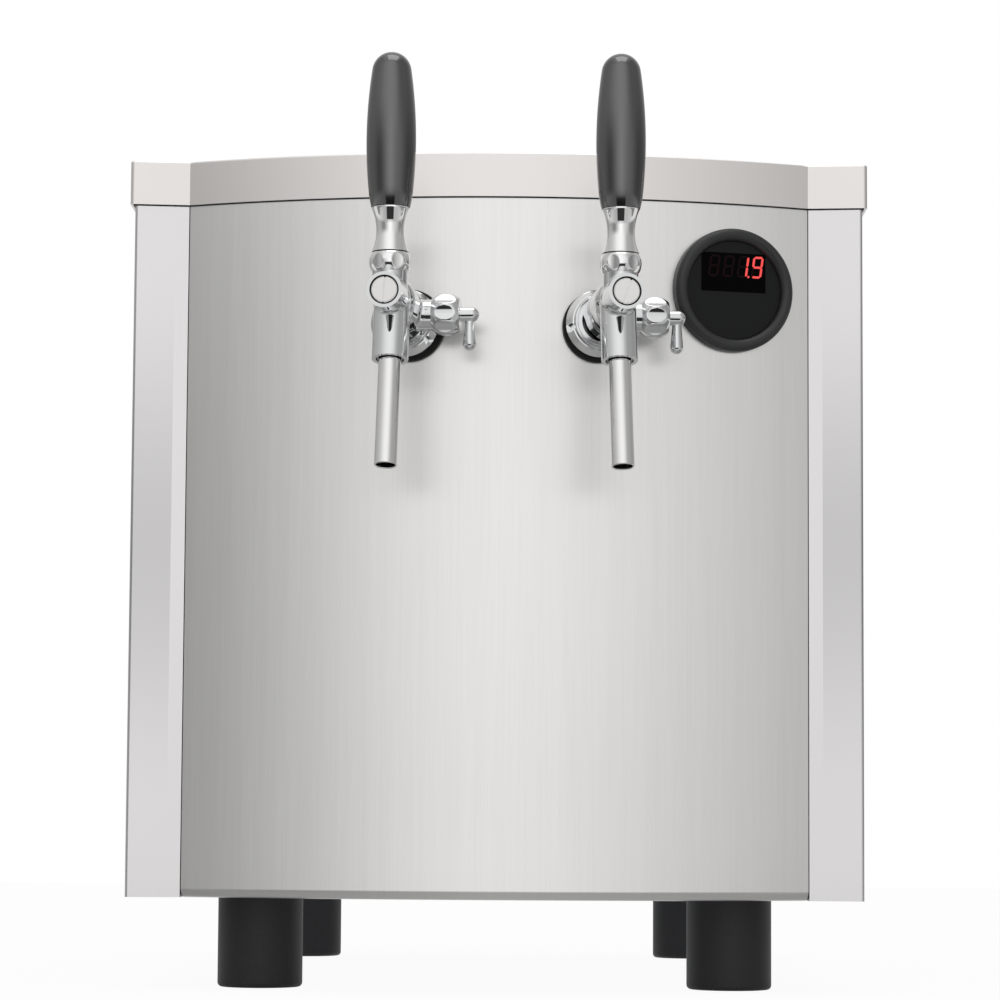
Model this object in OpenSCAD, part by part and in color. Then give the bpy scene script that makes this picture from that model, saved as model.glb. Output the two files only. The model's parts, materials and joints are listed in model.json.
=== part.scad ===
// Counter-top draft beer cooler with a bowed steel front, two compensator taps and a digital thermometer.
// Millimetres. The front faces -Y, +X is the viewer's right, +Z is up and the soles stand on z = 0.

/* [Cabinet] */
// Width over the two side panels
body_w = 400; // [380:5:440]
// Depth from the front strips' outer edges to the rear panel's face
body_d = 560; // [540:5:640]
// Height of the panels that shows between their lower edge and the lid's rim
body_h = 378.5; // [360:0.5:420]
// Thickness of the steel sheet
sheet = 1.5; // [1:0.1:2]
// Width of each flat strip beside the bowed panel
strip_w = 30; // [24:1:36]
// How far a strip's inner edge lies behind its outer edge
strip_toe = 3.4; // [1:0.1:6]
// How far the bowed panel stands out in its middle
bow_rise = 34; // [28:1:42]
// Open seam between the bowed panel and each strip
seam_gap = 0.8; // [0.4:0.1:0.9]
// Width of the folded returns inside the panels
return_w = 14; // [13:1:18]
// Radius of the bowed panel's rolled lower edge
roll_r = 5; // [3:0.5:8]
// Flat lip behind the rolled lower edge
roll_lip = 8; // [4:1:12]
// Height of the base tray's side upstands
upstand_h = 18; // [10:1:30]

/* [Lid] */
// Height of the lid's rim
lid_rim = 24; // [20:1:30]
// How far the lid stands out past the panels
lid_over = 2.5; // [2.2:0.1:3]

/* [Feet] */
// Diameter of a foot
foot_d = 47; // [40:1:54]
// Height of a foot
foot_h = 50; // [44:1:60]
// Radius of a foot's lower edge
foot_edge_r = 2.5; // [1:0.5:4]
// Distance of a foot's axis from the side panel's face
foot_side_inset = 70; // [60:1:74]
// Distance of a foot's axis from the front strips and from the rear panel
foot_end_inset = 55; // [50:1:58]
// Diameter of the recess for the bolt's head
foot_recess_d = 18; // [16:1:22]
// Length of rubber that the bolt clamps
foot_clamp = 16; // [10:1:24]

/* [Fasteners] */
// Diameter of a foot bolt
bolt_d = 8; // [6:1:8]
// Height of a foot bolt's head and of its nut
bolt_head_h = 5.5; // [4:0.5:6]
// Width over the flats of a foot bolt's head and of its nut
bolt_hex_w = 12.8; // [10:0.2:14]
// Diameter of a sheet screw
screw_d = 4; // [3:0.5:4.5]
// Length of a sheet screw under its head
screw_len = 9; // [8:0.5:12]
// Diameter of a sheet screw's head
screw_head_d = 7.6; // [6:0.2:9]
// Height of a sheet screw's head
screw_head_h = 2.4; // [1.5:0.1:3]

/* [Taps] */
// Distance between the two taps, across the cabinet
tap_spacing = 105; // [90:1:112]
// How far the pair of taps sits to the right of the cabinet's middle
tap_shift = 3.5; // [0:0.5:4]
// Height of the lid's rim above the taps' axis
tap_drop = 68; // [60:1:76]
// Diameter of the rubber gasket
gasket_d = 44; // [40:1:48]
// Thickness of the rubber gasket
gasket_t = 4; // [3:0.5:6]
// Diameter of the conical flange
flange_d = 36.6; // [34:0.2:38]
// Height of the flange's straight edge
flange_edge = 2.2; // [1.5:0.1:3]
// Height of the flange over all
flange_h = 8.6; // [7:0.2:10]
// Diameter of the ring at the flange's front
flange_ring_d = 26; // [25:0.5:28]
// Height of the ring at the flange's front
flange_ring_h = 3; // [2:0.2:4]
// Diameter of the flange's spanner holes
spanner_hole_d = 5.4; // [4:0.2:6]
// Number of spanner holes
spanner_holes = 4; // [2:1:6]
// Diameter of the threaded tail that passes through the front panel
tail_d = 22; // [20:0.5:22.5]
// Length of the tail behind the front panel's face
tail_len = 36; // [30:1:40]
// Diameter of the shank next to the flange
shank_d = 24; // [23:0.5:25]
// Diameter of the shank next to the barrel
shank_end_d = 21; // [19:0.5:22]
// Diameter of the beer passage
passage_d = 10; // [9:0.5:10.5]
// Height of the valve's axis above the shank's axis
valve_rise = 4.6; // [4:0.2:5]
// Diameter of the front boss
boss_d = 18.8; // [18:0.2:20]
// Distance from the front panel to the boss's face
boss_reach = 86; // [84:1:92]
// Diameter of the front plug's head
plug_d = 14; // [13.4:0.2:14.6]
// Diameter of the front plug's thread
plug_thread_d = 13; // [12:0.2:13.2]
// Depth of the front plug's thread
plug_len = 7; // [5:0.5:8]
// Width of the front plug's slot
plug_slot_w = 1; // [0.8:0.1:1.5]
// Distance from the front panel to the lever's axis
lever_reach = 65; // [64:0.5:66]
// Diameter of the barrel over the spout
barrel_d = 19.2; // [18:0.2:20]
// Length of the barrel below the valve's axis
barrel_len = 34.3; // [32:0.5:38]
// Distance from the front panel to the barrel's axis, at the valve's axis
barrel_reach = 55.5; // [54:0.5:57]
// Width of the open recess round the spout at the barrel's end
barrel_recess_w = 1.4; // [1:0.1:2]
// Depth of the open recess round the spout at the barrel's end
barrel_recess = 5; // [3:0.5:7]
// Forward lean of the barrel and spout from upright, in degrees
spout_lean = 12; // [8:1:14]
// Outside diameter of the spout tube
spout_d = 12; // [11:0.5:12]
// Wall of the spout tube
spout_wall = 1; // [0.8:0.1:1.5]
// Length of the spout below the barrel
spout_len = 58; // [40:1:70]
// Length of the spout inside the barrel
spout_seat = 16; // [12:0.5:18]
// How far the spout's seat steps in from its outside
spout_step = 0.2; // [0.1:0.05:0.4]
// Width over the flats of the back nut
back_nut_w = 30; // [28:1:34]
// Height of the back nut
back_nut_h = 9; // [6:0.5:12]

/* [Lever] */
// Height of the lever's pivot above the valve's axis
pivot_rise = 14; // [13.5:0.1:14.5]
// How far the lever turns from closed to open, in degrees
lever_range = 25; // [20:1:26]
// Diameter of the pivot ball
pivot_d = 12; // [11:0.5:12]
// Diameter of the lever's lower finger
finger_d = 3.8; // [3:0.2:4]
// Diameter of the ball at the finger's end
finger_ball_d = 5.6; // [5:0.2:6]
// Diameter of the lever's stem
stem_d = 6; // [5:0.2:6.4]
// Length of the stem inside the handle
stem_grip = 30; // [20:1:40]
// Diameter of the collar nut
collar_d = 22.2; // [21.6:0.2:23]
// Radius of the ball that the collar nut's top follows, about the pivot
collar_ball_r = 13.5; // [13.2:0.1:14]
// Height of the collar nut's lower face below the pivot
collar_drop = 0.8; // [0.5:0.1:1.2]
// Number of flutes on the collar nut and on the bonnet
flutes = 8; // [6:1:10]
// Radius of the hollow of a flute
flute_r = 10; // [8:0.5:12]
// Depth of the collar nut's flutes
collar_flute = 0.9; // [0.6:0.1:1.2]
// Depth of the bonnet's flutes
bonnet_flute = 1.3; // [0.8:0.1:1.5]
// Radius of the collar nut's bulging side
collar_bulge_r = 8.6; // [7:0.1:10]
// Diameter of the neck under the collar nut
neck_d = 18.6; // [18:0.2:19]
// Diameter of the ferrule at its base and top
ferrule_d = 20; // [19:0.2:21]
// Diameter of the ferrule at its waist
ferrule_waist_d = 14.8; // [13:0.2:17]
// Height of the ferrule
ferrule_h = 22.3; // [18:0.1:26]
// Greatest diameter of the handle
handle_d = 26; // [24:0.2:28]
// Radius of the handle's long side curve
handle_curve_r = 268; // [240:1:300]
// Height of the handle's thickest place
handle_belly = 35.5; // [30:0.5:40]
// Height at which the handle's side runs into its round top
handle_shoulder = 74; // [70:0.5:78]
// Diameter of the plunger
plunger_d = 10; // [9.6:0.1:10]
// Length of the plunger
plunger_len = 32; // [30:0.5:33]
// Length of the plunger in front of the lever's axis
plunger_nose = 11; // [9:0.5:12]
// Length of the plunger's sealing head
plunger_head = 3; // [2:0.2:4]
// Diameter of the plunger's stem, which the beer flows round
plunger_stem_d = 4.4; // [3:0.2:5]

/* [Compensator] */
// Distance from the front panel to the compensator's axis
comp_reach = 24; // [23.5:0.5:26]
// Diameter of the neck that carries the bonnet
comp_neck_d = 16.4; // [15:0.2:17]
// Length of the neck from the shank's axis
comp_neck_len = 17; // [16:0.5:19]
// Diameter of the bonnet
bonnet_d = 23; // [21:0.5:24]
// Length of the bonnet
bonnet_len = 15; // [13:0.5:17]
// Diameter of the compensator lever's spindle
spindle_d = 5; // [4:0.2:5]
// Diameter of the compensator lever's hub
hub_d = 8.2; // [7:0.2:9]
// Length of the hub with its round end
hub_len = 9.8; // [9:0.2:12]
// Length of the compensator lever's arm from the spindle's axis to the middle of its round end
arm_len = 15.8; // [12:0.2:16.5]
// Diameter of the arm at the hub
arm_root_d = 4.2; // [3.4:0.2:5]
// Diameter of the arm's round end
arm_end_d = 7; // [6:0.2:7.4]
// Throw of the eccentric pin that moves the cone
pin_throw = 2.5; // [2:0.1:2.5]
// Diameter of the eccentric pin
pin_d = 2.4; // [2:0.2:2.4]
// Width of the crank disc's edge outside the eccentric pin
crank_rim = 0.5; // [0.3:0.1:0.8]
// Thickness of the crank disc that carries the eccentric pin
crank_t = 2; // [1.5:0.1:3]
// Diameter of the compensator cone at its head
cone_d = 9.2; // [8.8:0.1:9.2]
// Diameter of the compensator cone at its tip
cone_tip_d = 4; // [3:0.2:5]
// Length of the cone behind the pin
cone_len = 38; // [30:1:40]

/* [Thermometer] */
// Distance from the right-hand seam to the thermometer's middle
therm_inset = 42.6; // [38:0.2:50]
// Height of the lid's rim above the thermometer's middle
therm_drop = 47.9; // [42:0.1:56]
// Outside diameter of the bezel ring
bezel_d = 67.6; // [66:0.2:70]
// Diameter of the bezel's opening
bezel_in_d = 54; // [53:0.2:56]
// How far the bezel stands out from the panel
bezel_h = 7; // [6.6:0.1:8]
// How far the face stands out from the panel
face_h = 3.4; // [3:0.1:4]
// Thickness of the face
face_t = 2; // [1.6:0.1:2.2]
// Diameter of the case behind the face
case_d = 51.6; // [49:0.2:52]
// Depth of the case behind the panel's face
case_len = 35; // [25:1:40]
// Width of the display window
window_w = 36.5; // [35:0.5:40]
// Height of the display window
window_h = 22; // [19:0.5:24]
// Height of the window's middle above the face's middle
window_rise = 9.6; // [8:0.2:11]
// Depth of the window in the face
window_depth = 0.4; // [0.3:0.1:0.6]
// Height of a digit
digit_h = 12; // [10:0.5:13]
// Width of a digit
digit_w = 6; // [5:0.2:6.4]
// Distance from one digit to the next
digit_pitch = 8.3; // [8:0.1:8.6]
// Width of a digit's bars
digit_bar = 1.3; // [1:0.1:1.5]
// Slant of the digits, in degrees
digit_slant = 8; // [0:1:10]

/* [Cooling] */
// Width of the cold block
block_w = 160; // [130:1:170]
// Depth of the cold block
block_d = 90; // [70:1:100]
// Height of the cold block
block_h = 260; // [200:1:260]
// Height of the cold block above the taps' axis
block_rise = 30; // [20:1:34]
// Thickness of the foam round the cold block
foam_wall = 30; // [24:1:32]
// Distance from the front strips to the foam
foam_y = 70; // [64:1:76]
// Outside diameter of a beer line
line_d = 9.5; // [8:0.1:9.5]
// Wall of a beer line
line_wall = 1.5; // [1:0.1:2]
// Height of the rear beer ports below the taps' axis
rear_port_drop = 20; // [10:1:30]
// Outside diameter of a refrigerant pipe
pipe_d = 8; // [6:0.5:9]
// Wall of a refrigerant pipe
pipe_wall = 0.9; // [0.7:0.1:1.2]
// Diameter of the compressor's shell
comp_shell_d = 150; // [130:1:150]
// Height of the compressor's shell
comp_shell_h = 175; // [150:1:190]
// Radius of the compressor's domed top edge
comp_dome_r = 25; // [15:1:35]
// Distance from the left panel's face to the compressor's axis
compressor_inset = 105; // [95:1:108]
// Distance from the rear panel's face to the compressor's axis
compressor_rear = 160; // [155:1:165]
// Width and depth of the compressor's foot plate
comp_plate_w = 164; // [150:1:166]
// Thickness of the compressor's foot plate
comp_plate_t = 3; // [2:0.5:4]
// Diameter of a rubber grommet
grommet_d = 24; // [18:1:28]
// Height of a rubber grommet
grommet_h = 15; // [10:1:20]
// Distance from the cabinet's middle to the condenser
cond_mid = 15; // [13:1:21]
// Depth of the condenser
cond_d = 60; // [48:1:62]
// Height of the condenser
cond_h = 193; // [180:1:200]
// Distance from the right panel's face to the condenser
cond_side = 15; // [10:1:18]
// Thickness of a condenser fin
fin_t = 0.8; // [0.6:0.1:1]
// Distance from one fin to the next
fin_pitch = 8; // [6:0.5:10]
// Diameter of the condenser's tubes
cond_tube_d = 9; // [8:0.5:10]
// Number of tube rows in the condenser
cond_rows = 5; // [3:1:5]
// Distance from the rear panel's face to the condenser
cond_rear = 20; // [14:1:20]
// Distance of the condenser's two ports from its ends
cond_port = 24; // [20:1:30]
// Height of the compressor's discharge port above its foot plate
discharge_h = 130; // [100:1:140]
// Height of the compressor's suction port above its foot plate
suction_h = 110; // [80:1:130]
// Height of the liquid line's port above the cold block's lower face
liquid_rise = 30; // [20:1:50]
// Distance of the liquid line's port to the right of the cabinet's middle
liquid_x = 20; // [10:1:30]
// Depth of the suction line's port below the cold block's top
suction_drop = 90; // [60:1:120]
// Distance of the suction line's port to the left of the cabinet's middle
suction_x = 30; // [20:1:40]
// Width of the plate beside the fan's opening
fan_edge = 10; // [10:1:15]
// Gap between the fan's tips and its opening
fan_tip_gap = 5; // [4:0.5:15]
// Number of fan blades
blades = 5; // [3:1:7]
// Distance from the fan blades to the condenser
fan_gap = 2.2; // [1.5:0.1:4]
// Width of a fan blade
blade_w = 26; // [18:1:26]
// Pitch of a fan blade, in degrees
blade_pitch = 30; // [20:1:32]
// Thickness of a fan blade
blade_t = 1.6; // [1:0.1:2]
// Diameter of the fan's hub
fan_hub_d = 40; // [34:1:44]
// Length of the fan's hub
fan_hub_len = 13; // [10:0.5:14]
// Diameter of the fan motor
motor_d = 56; // [46:1:60]
// Length of the fan motor
motor_len = 29; // [24:1:30]
// Diameter of the fan motor's shaft
motor_shaft_d = 6; // [5:0.5:8]
// Width of the bar that carries the fan motor
motor_bar_w = 18; // [14:1:24]

/* [Rear] */
// Distance between the two beer inlets
inlet_spacing = 120; // [100:1:130]
// Height of the lid's rim above the beer inlets
inlet_drop = 28.5; // [24:0.5:34]
// Outside diameter of a beer inlet
inlet_d = 16; // [15:0.5:18]
// Bore of a beer inlet, which takes the tube
inlet_bore_d = 9.6; // [9.5:0.1:10]
// Depth of a beer inlet's bore
inlet_bore_len = 15; // [12:0.5:18]
// How far a beer inlet stands out from the rear panel
inlet_reach = 25; // [22:0.5:30]
// Width over the flats of a beer inlet's hexagon and nut
inlet_hex_w = 22; // [20:0.5:26]
// Thickness of a beer inlet's hexagon and nut
inlet_hex_t = 5; // [4:0.5:7]
// Distance of the switch and the cable gland from the cabinet's middle
switch_x = 150; // [140:1:155]
// Height of the lid's rim above the switch and the thermostat
switch_drop = 118.5; // [110:0.5:125]
// Width of the switch's opening in the panel
switch_w = 21; // [19:0.5:24]
// Height of the switch's opening in the panel
switch_h = 28; // [26:0.5:32]
// Width of the switch frame's edge
switch_lip = 2; // [1.5:0.1:3]
// Depth of the switch inside the panel
switch_depth = 24; // [20:1:30]
// Width of the rocker
rocker_w = 15; // [13:0.5:16]
// Radius of the rocker about its pin
rocker_r = 11; // [10:0.2:11.4]
// How far the rocker turns, in degrees
rocker_range = 20; // [16:1:24]
// Distance from the cable gland down to the switch
gland_rise = 40; // [36:1:46]
// Outside diameter of the cable gland
gland_d = 18; // [17:0.5:20]
// Bore of the cable gland
gland_bore_d = 7.2; // [6:0.1:8]
// How far the cable gland stands out from the rear panel
gland_reach = 20; // [14:0.5:22]
// Distance of the thermostat from the cabinet's middle
thermostat_x = 100; // [94:1:106]
// Width of the thermostat's body
thermostat_w = 40; // [34:1:44]
// Depth of the thermostat's body
thermostat_d = 30; // [24:1:34]
// Diameter of the thermostat's shaft
thermostat_shaft_d = 6; // [5:0.5:7]
// Diameter of the thermostat's knob
knob_d = 32; // [26:1:36]
// Height of the thermostat's knob
knob_h = 15; // [12:0.5:18]
// Number of vent slots in each group
vent_slots = 8; // [5:1:9]
// Distance from one vent slot to the next
vent_pitch = 18; // [14:1:19]
// Height of a vent slot
vent_h = 6; // [4:0.5:8]
// Length of a vent slot
vent_len = 140; // [110:1:144]
// Diameter of the wiring loom
loom_d = 5; // [4:0.5:5]

/* [Fits] */
// Clearance on each side between pieces that slide or turn in one another
run_gap = 0.05; // [0.03:0.01:0.08]
// Clearance on each side of moving pieces that only pass each other
pass_gap = 0.4; // [0.3:0.05:0.5]
// Clearance on each side of pieces that pass through a hole
hole_gap = 0.3; // [0.2:0.05:0.5]

/* [Hidden] */

// Facets of round shapes
round_fn = 64;
bow_fn = 180;
hex_fn = 6;
// Overshoot of cutting shapes past the face they cut
over = 1;

// Cabinet
half_w = body_w / 2;
seam_x = half_w - strip_w;
bow_r = (pow(seam_x, 2) + pow(bow_rise, 2)) / (2 * bow_rise);
bow_cy = strip_toe - bow_rise + bow_r;
panel_z = foot_h;
base_top = panel_z + sheet;
lid_z = panel_z + body_h;
lid_top = lid_z + lid_rim;
panel_top = lid_top - sheet;
panel_h = panel_top - panel_z;
rear_in = body_d - sheet;
front_edge_x = seam_x - seam_gap / 2;
strip_edge_x = seam_x + seam_gap / 2;
strip_edge_y = strip_toe * (half_w - strip_edge_x) / strip_w;
front_half_angle = asin(front_edge_x / bow_r);
front_edge_y = bow_cy - sqrt(pow(bow_r, 2) - pow(front_edge_x, 2));
base_front = strip_toe + return_w + over;
base_rear = body_d - 2 * sheet;
seam_screw_y = strip_toe + return_w - screw_head_d / 2 - over;
screw_heights = [for (share = [0.12, 0.5, 0.88]) panel_z + share * body_h];
rear_screw_x = half_w - return_w / 2 - over;
lid_screw_x = half_w - foot_side_inset;
lid_screw_z = lid_z + lid_rim / 2;

// Taps
tap_z = lid_z - tap_drop;
shank_start = gasket_t + flange_h + flange_ring_h;
tail_bore = tail_d / 2 + run_gap;
pivot_z = valve_rise + pivot_rise;
collar_z = pivot_z - collar_drop;
collar_spigot = 3;
collar_wall = 1.4;
ferrule_z = pivot_z + sqrt(pow(collar_ball_r + pass_gap, 2) - pow(ferrule_d / 2, 2));
handle_z = ferrule_z + ferrule_h;
handle_r = handle_d / 2;
handle_shoulder_r = handle_r - handle_curve_r
    + sqrt(pow(handle_curve_r, 2) - pow(handle_shoulder - handle_belly, 2));
handle_top_r = handle_shoulder_r * handle_curve_r / (handle_shoulder_r + handle_curve_r - handle_r);
handle_top_z = handle_shoulder - handle_top_r * (handle_shoulder - handle_belly) / handle_curve_r;
plunger_travel = pivot_rise * sin(lever_range);
plunger_back = lever_reach + plunger_nose - plunger_len;
valve_back = plunger_back - plunger_travel - finger_d;
valve_room = 1.5;
plug_back = boss_reach - plug_len;
finger_room = finger_ball_d / 2 + 1.25 * pass_gap;
guide_back = lever_reach - finger_room - valve_room;
collar_h = ferrule_z - pivot_z + collar_drop;
barrel_recess_d = spout_d + 2 * barrel_recess_w;
spout_seat_d = spout_d - 2 * spout_step;
bonnet_x = comp_neck_len;
hub_x = bonnet_x + bonnet_len + hole_gap;
arm_x = hub_x + hub_len - hub_d / 2 - 1;
pin_room = pin_d / 2 + 2 * pass_gap;
groove_core_d = 4;
groove_collar = 1.6;
pin_in = groove_core_d / 2 + hole_gap;
spindle_in = cone_d / 2 + 1.5 * pass_gap;
crank_d = 2 * (pin_throw + crank_rim) + pin_d;

// Thermometer
therm_x = seam_x - therm_inset;
therm_z = lid_z - therm_drop;
bezel_wall = (bezel_d - bezel_in_d) / 2;
case_lip_t = face_h - face_t - hole_gap;

// Cooling
block_top = tap_z + block_rise;
block_z = block_top - block_h;
block_front = foam_y + foam_wall;
block_rear = block_front + block_d;
foam_rear = block_rear + foam_wall;
foam_top = block_top + foam_wall;
rear_port_z = tap_z - rear_port_drop;
liquid_port = [liquid_x, block_rear, block_z + liquid_rise];
suction_port = [-suction_x, block_rear, block_top - suction_drop];
compressor_x = compressor_inset - half_w;
compressor_y = body_d - compressor_rear;
plate_z = base_top + grommet_h;
shell_z = plate_z + comp_plate_t;
grommet_step = comp_plate_w / 2 - grommet_d / 2;
cond_right = half_w - cond_side;
cond_left = cond_mid;
cond_w = cond_right - cond_left;
shell_right = compressor_x + comp_shell_d / 2;
pipe_lane = (shell_right + cond_left) / 2;
fan_open_d = cond_w - 2 * fan_edge;
fan_d = fan_open_d - 2 * fan_tip_gap;
cond_front = rear_in - cond_rear - cond_d + sheet;
cond_mid_y = cond_front + cond_d / 2;
cond_high_z = base_top + cond_h - cond_port;
cond_low_z = base_top + cond_port;
cond_foot = 10;
fan_x = cond_left + cond_w / 2;
fan_z = base_top + cond_h / 2;
fan_y = cond_front - blade_w / 2 * sin(blade_pitch) - fan_gap;
bracket_y = fan_y - sheet / 2;
hub_front = fan_y - fan_hub_len / 2;
motor_rear = hub_front - fan_gap;
motor_front = motor_rear - motor_len;
bar_t = 3;
bar_front = motor_front - bar_t;
end_gap = 0.2;

// Rear
inlet_z = lid_z - inlet_drop;
switch_z = lid_z - switch_drop;
gland_z = switch_z + gland_rise;
gland_thread_d = gland_d - 3;
gland_tail = 9;
thermostat_z = switch_z;
rocker_y = body_d - 5;
rocker_face = 6.5;
rocker_pin_d = 2.4;
rocker_pin_len = 1;
rear_vent_x = fan_x;
vent_z = fan_z;
side_vent_y = compressor_y;

// The box's middle, which the frame's origin sits under
front_most = min([for (side = [-1, 1]) bow_cy - (bow_r + boss_reach) * cos(bow_angle(tap_x(side)))
    - boss_d / 2 * abs(sin(bow_angle(tap_x(side))))]);
rear_most = body_d + inlet_reach;
mid_y = (front_most + rear_most) / 2;

// Places on the bowed panel
function tap_x(side) = tap_shift + side * tap_spacing / 2;
function bow_angle(x) = asin(x / bow_r);
function behind_bow(x, depth, z) = [
    (bow_r - depth) * sin(bow_angle(x)),
    bow_cy - (bow_r - depth) * cos(bow_angle(x)),
    z
];
function seam_y(grow) = bow_cy - sqrt(pow(bow_r + grow, 2) - pow(seam_x, 2));

// Routes with rounded corners
function between(a, b, t) = a + t * (b - a);
function corner(a, b, c, t) = between(between(a, b, t), between(b, c, t), t);
function rounded(route, share = 0.42, steps = 4) = [
    route[0],
    for (i = [1 : len(route) - 2])
        for (j = [0 : steps])
            corner(between(route[i], route[i - 1], share), route[i],
                   between(route[i], route[i + 1], share), j / steps),
    route[len(route) - 1]
];
function unit(v) = v / norm(v);
function heading(p, i) = unit(p[min(i + 1, len(p) - 1)] - p[max(i - 1, 0)]);
function side_of(t) = unit(cross(t, [0, 0, 1]));
function ring(p, i, r, sides) = [
    for (k = [0 : sides - 1])
        p[i] + r * (cos(k * 360 / sides) * side_of(heading(p, i))
                    + sin(k * 360 / sides) * cross(heading(p, i), side_of(heading(p, i))))
];

// Hollow tube along a route
module tube(route, outer_d, wall, sides = 10) {
    p = rounded(route);
    last = len(p) - 1;
    outer = [for (i = [0 : last]) each ring(p, i, outer_d / 2, sides)];
    inner = [for (i = [0 : last]) each ring(p, i, outer_d / 2 - wall, sides)];
    shift = len(outer);
    walls = [
        for (i = [0 : last - 1])
            for (k = [0 : sides - 1])
                let (a = i * sides + k, b = i * sides + (k + 1) % sides)
                    each [
                        [a, a + sides, b + sides], [a, b + sides, b],
                        [shift + a, shift + b + sides, shift + a + sides], [shift + a, shift + b,
                            shift + b + sides]
                    ]
    ];
    ends = [
        for (k = [0 : sides - 1])
            let (a = k, b = (k + 1) % sides, c = last * sides + k, d = last * sides + (k + 1) % sides)
                each [
                    [a, b, shift + b], [a, shift + b, shift + a],
                    [c, shift + d, d], [c, shift + c, shift + d]
                ]
    ];
    polyhedron(points = concat(outer, inner), faces = concat(walls, ends));
}

// Frames that the pieces are drawn in
module in_frame() {
    translate([0, -mid_y, 0]) children();
}

// On the bowed panel's face at x and z: -Y points straight out
module on_bow(x, z) {
    translate([0, bow_cy, z]) rotate([0, 0, bow_angle(x)]) translate([0, -bow_r, 0]) children();
}

module on_tap(side) {
    in_frame() on_bow(tap_x(side), tap_z) children();
}

module on_thermometer() {
    in_frame() on_bow(therm_x, therm_z) children();
}

// Turned about the way out of the panel, with the profile's height as the distance from the panel
module turned_out() {
    rotate([90, 0, 0]) rotate_extrude($fn = round_fn) children();
}

// A rod that points out of the panel, from one distance to another
module rod_out(d, from, to) {
    translate([0, -from, 0]) rotate([90, 0, 0]) cylinder(d = d, h = to - from, $fn = round_fn);
}

// A rod that points to the rear, from one depth to another
module rod_back(d, from, to) {
    translate([0, from, 0]) rotate([-90, 0, 0]) cylinder(d = d, h = to - from, $fn = round_fn);
}

// A hexagon that points to the rear, by its width over the flats
module hex_back(w, from, to) {
    translate([0, from, 0]) rotate([-90, 0, 0])
        cylinder(d = w / cos(180 / hex_fn), h = to - from, $fn = hex_fn);
}

// A rod along +X, from one distance to another
module rod_right(d, from, to) {
    translate([from, 0, 0]) rotate([0, 90, 0]) cylinder(d = d, h = to - from, $fn = round_fn);
}

// On the lever's pivot, turned by an angle with the top forward
module on_pivot(angle = 0) {
    translate([0, -lever_reach, pivot_z]) rotate([angle, 0, 0]) children();
}

// On the barrel's axis where it meets the valve's axis: -Z runs down the spout
module on_barrel() {
    translate([0, -barrel_reach, valve_rise]) rotate([-spout_lean, 0, 0]) children();
}

module on_valve() {
    translate([0, 0, valve_rise]) children();
}

module on_compensator() {
    translate([0, -comp_reach, 0]) children();
}

// Everything in front of the bowed panel's face, or behind its inner face, is trimmed with this
module bow_solid(r) {
    translate([0, bow_r, 0]) cylinder(r = r, h = 4 * gasket_d, center = true, $fn = bow_fn);
}

// Plan of the cabinet, grown outwards: the bow stands out of two strips that slope in to the middle
module plan(grow) {
    side_x = half_w + grow;
    slope = (seam_y(grow) + grow) / (side_x - seam_x);
    bow_half = seam_x + strip_w / 2;
    polygon([
        [-side_x, -grow], [0, side_x * slope - grow], [side_x, -grow], [side_x, body_d + grow],
        [-side_x, body_d + grow]
    ]);
    intersection() {
        translate([0, bow_cy]) circle(r = bow_r + grow, $fn = bow_fn);
        translate([-bow_half, -bow_r]) square([2 * bow_half, bow_r + strip_toe + bow_rise]);
    }
}

// Slot with round ends, lying along X and cut through along Y
module slot_through_y(length, height) {
    run = length - height;
    rotate([90, 0, 0]) linear_extrude(8 * sheet, center = true) {
        square([run, height], center = true);
        for (side = [-1, 1])
            translate([side * run / 2, 0]) circle(d = height, $fn = round_fn);
    }
}

module vents() {
    for (i = [0 : vent_slots - 1])
        translate([0, 0, (i - (vent_slots - 1) / 2) * vent_pitch]) slot_through_y(vent_len, vent_h);
}

// Screw with its head upwards and the shank below z = 0
module screw() {
    difference() {
        cylinder(d1 = screw_head_d, d2 = 0.7 * screw_head_d, h = screw_head_h, $fn = round_fn);
        for (turn = [0, 90])
            rotate([0, 0, turn])
                translate([0, 0, screw_head_h]) cube([screw_d, screw_d / 5, screw_head_h], center = true);
    }
    translate([0, 0, -screw_len]) cylinder(d = screw_d, h = screw_len + sheet / 2, $fn = round_fn);
}

module at_rear_screws() {
    for (side = [-1, 1]) {
        for (z = screw_heights)
            translate([side * rear_screw_x, body_d, z]) rotate([-90, 0, 0]) children();
    }
}

module at_lid_screws() {
    for (side = [-1, 1])
        translate([side * lid_screw_x, body_d + lid_over, lid_screw_z]) rotate([-90, 0, 0]) children();
}

module at_seam_screws() {
    for (turn = [0, 1])
        mirror([turn, 0, 0])
            for (z = screw_heights)
                translate([strip_edge_x + sheet, seam_screw_y, z]) rotate([0, 90, 0]) children();
}

module screw_hole() {
    cylinder(d = screw_d + 2 * hole_gap, h = 6 * sheet + 2 * lid_over, center = true, $fn = round_fn);
}

// Cabinet

module base_tray() {
    wall_x = half_w - sheet;
    color("lightslategray") in_frame() difference() {
        union() {
            translate([0, 0, panel_z]) linear_extrude(sheet) {
                translate([-wall_x, base_front]) square([2 * wall_x, base_rear - base_front]);
                intersection() {
                    translate([0, bow_cy]) circle(r = bow_r - roll_r - roll_lip - hole_gap, $fn = bow_fn);
                    translate([return_w - seam_x, -bow_rise])
                        square([2 * (seam_x - return_w), bow_rise + base_front + over]);
                }
            }
            for (turn = [0, 1])
                mirror([turn, 0, 0])
                    translate([wall_x - sheet, base_front, panel_z])
                        cube([sheet, base_rear - base_front, upstand_h]);
        }
        at_feet() translate([0, 0, panel_z - over])
            cylinder(d = bolt_d + 2 * hole_gap, h = sheet + 2 * over, $fn = round_fn);
    }
}

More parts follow.
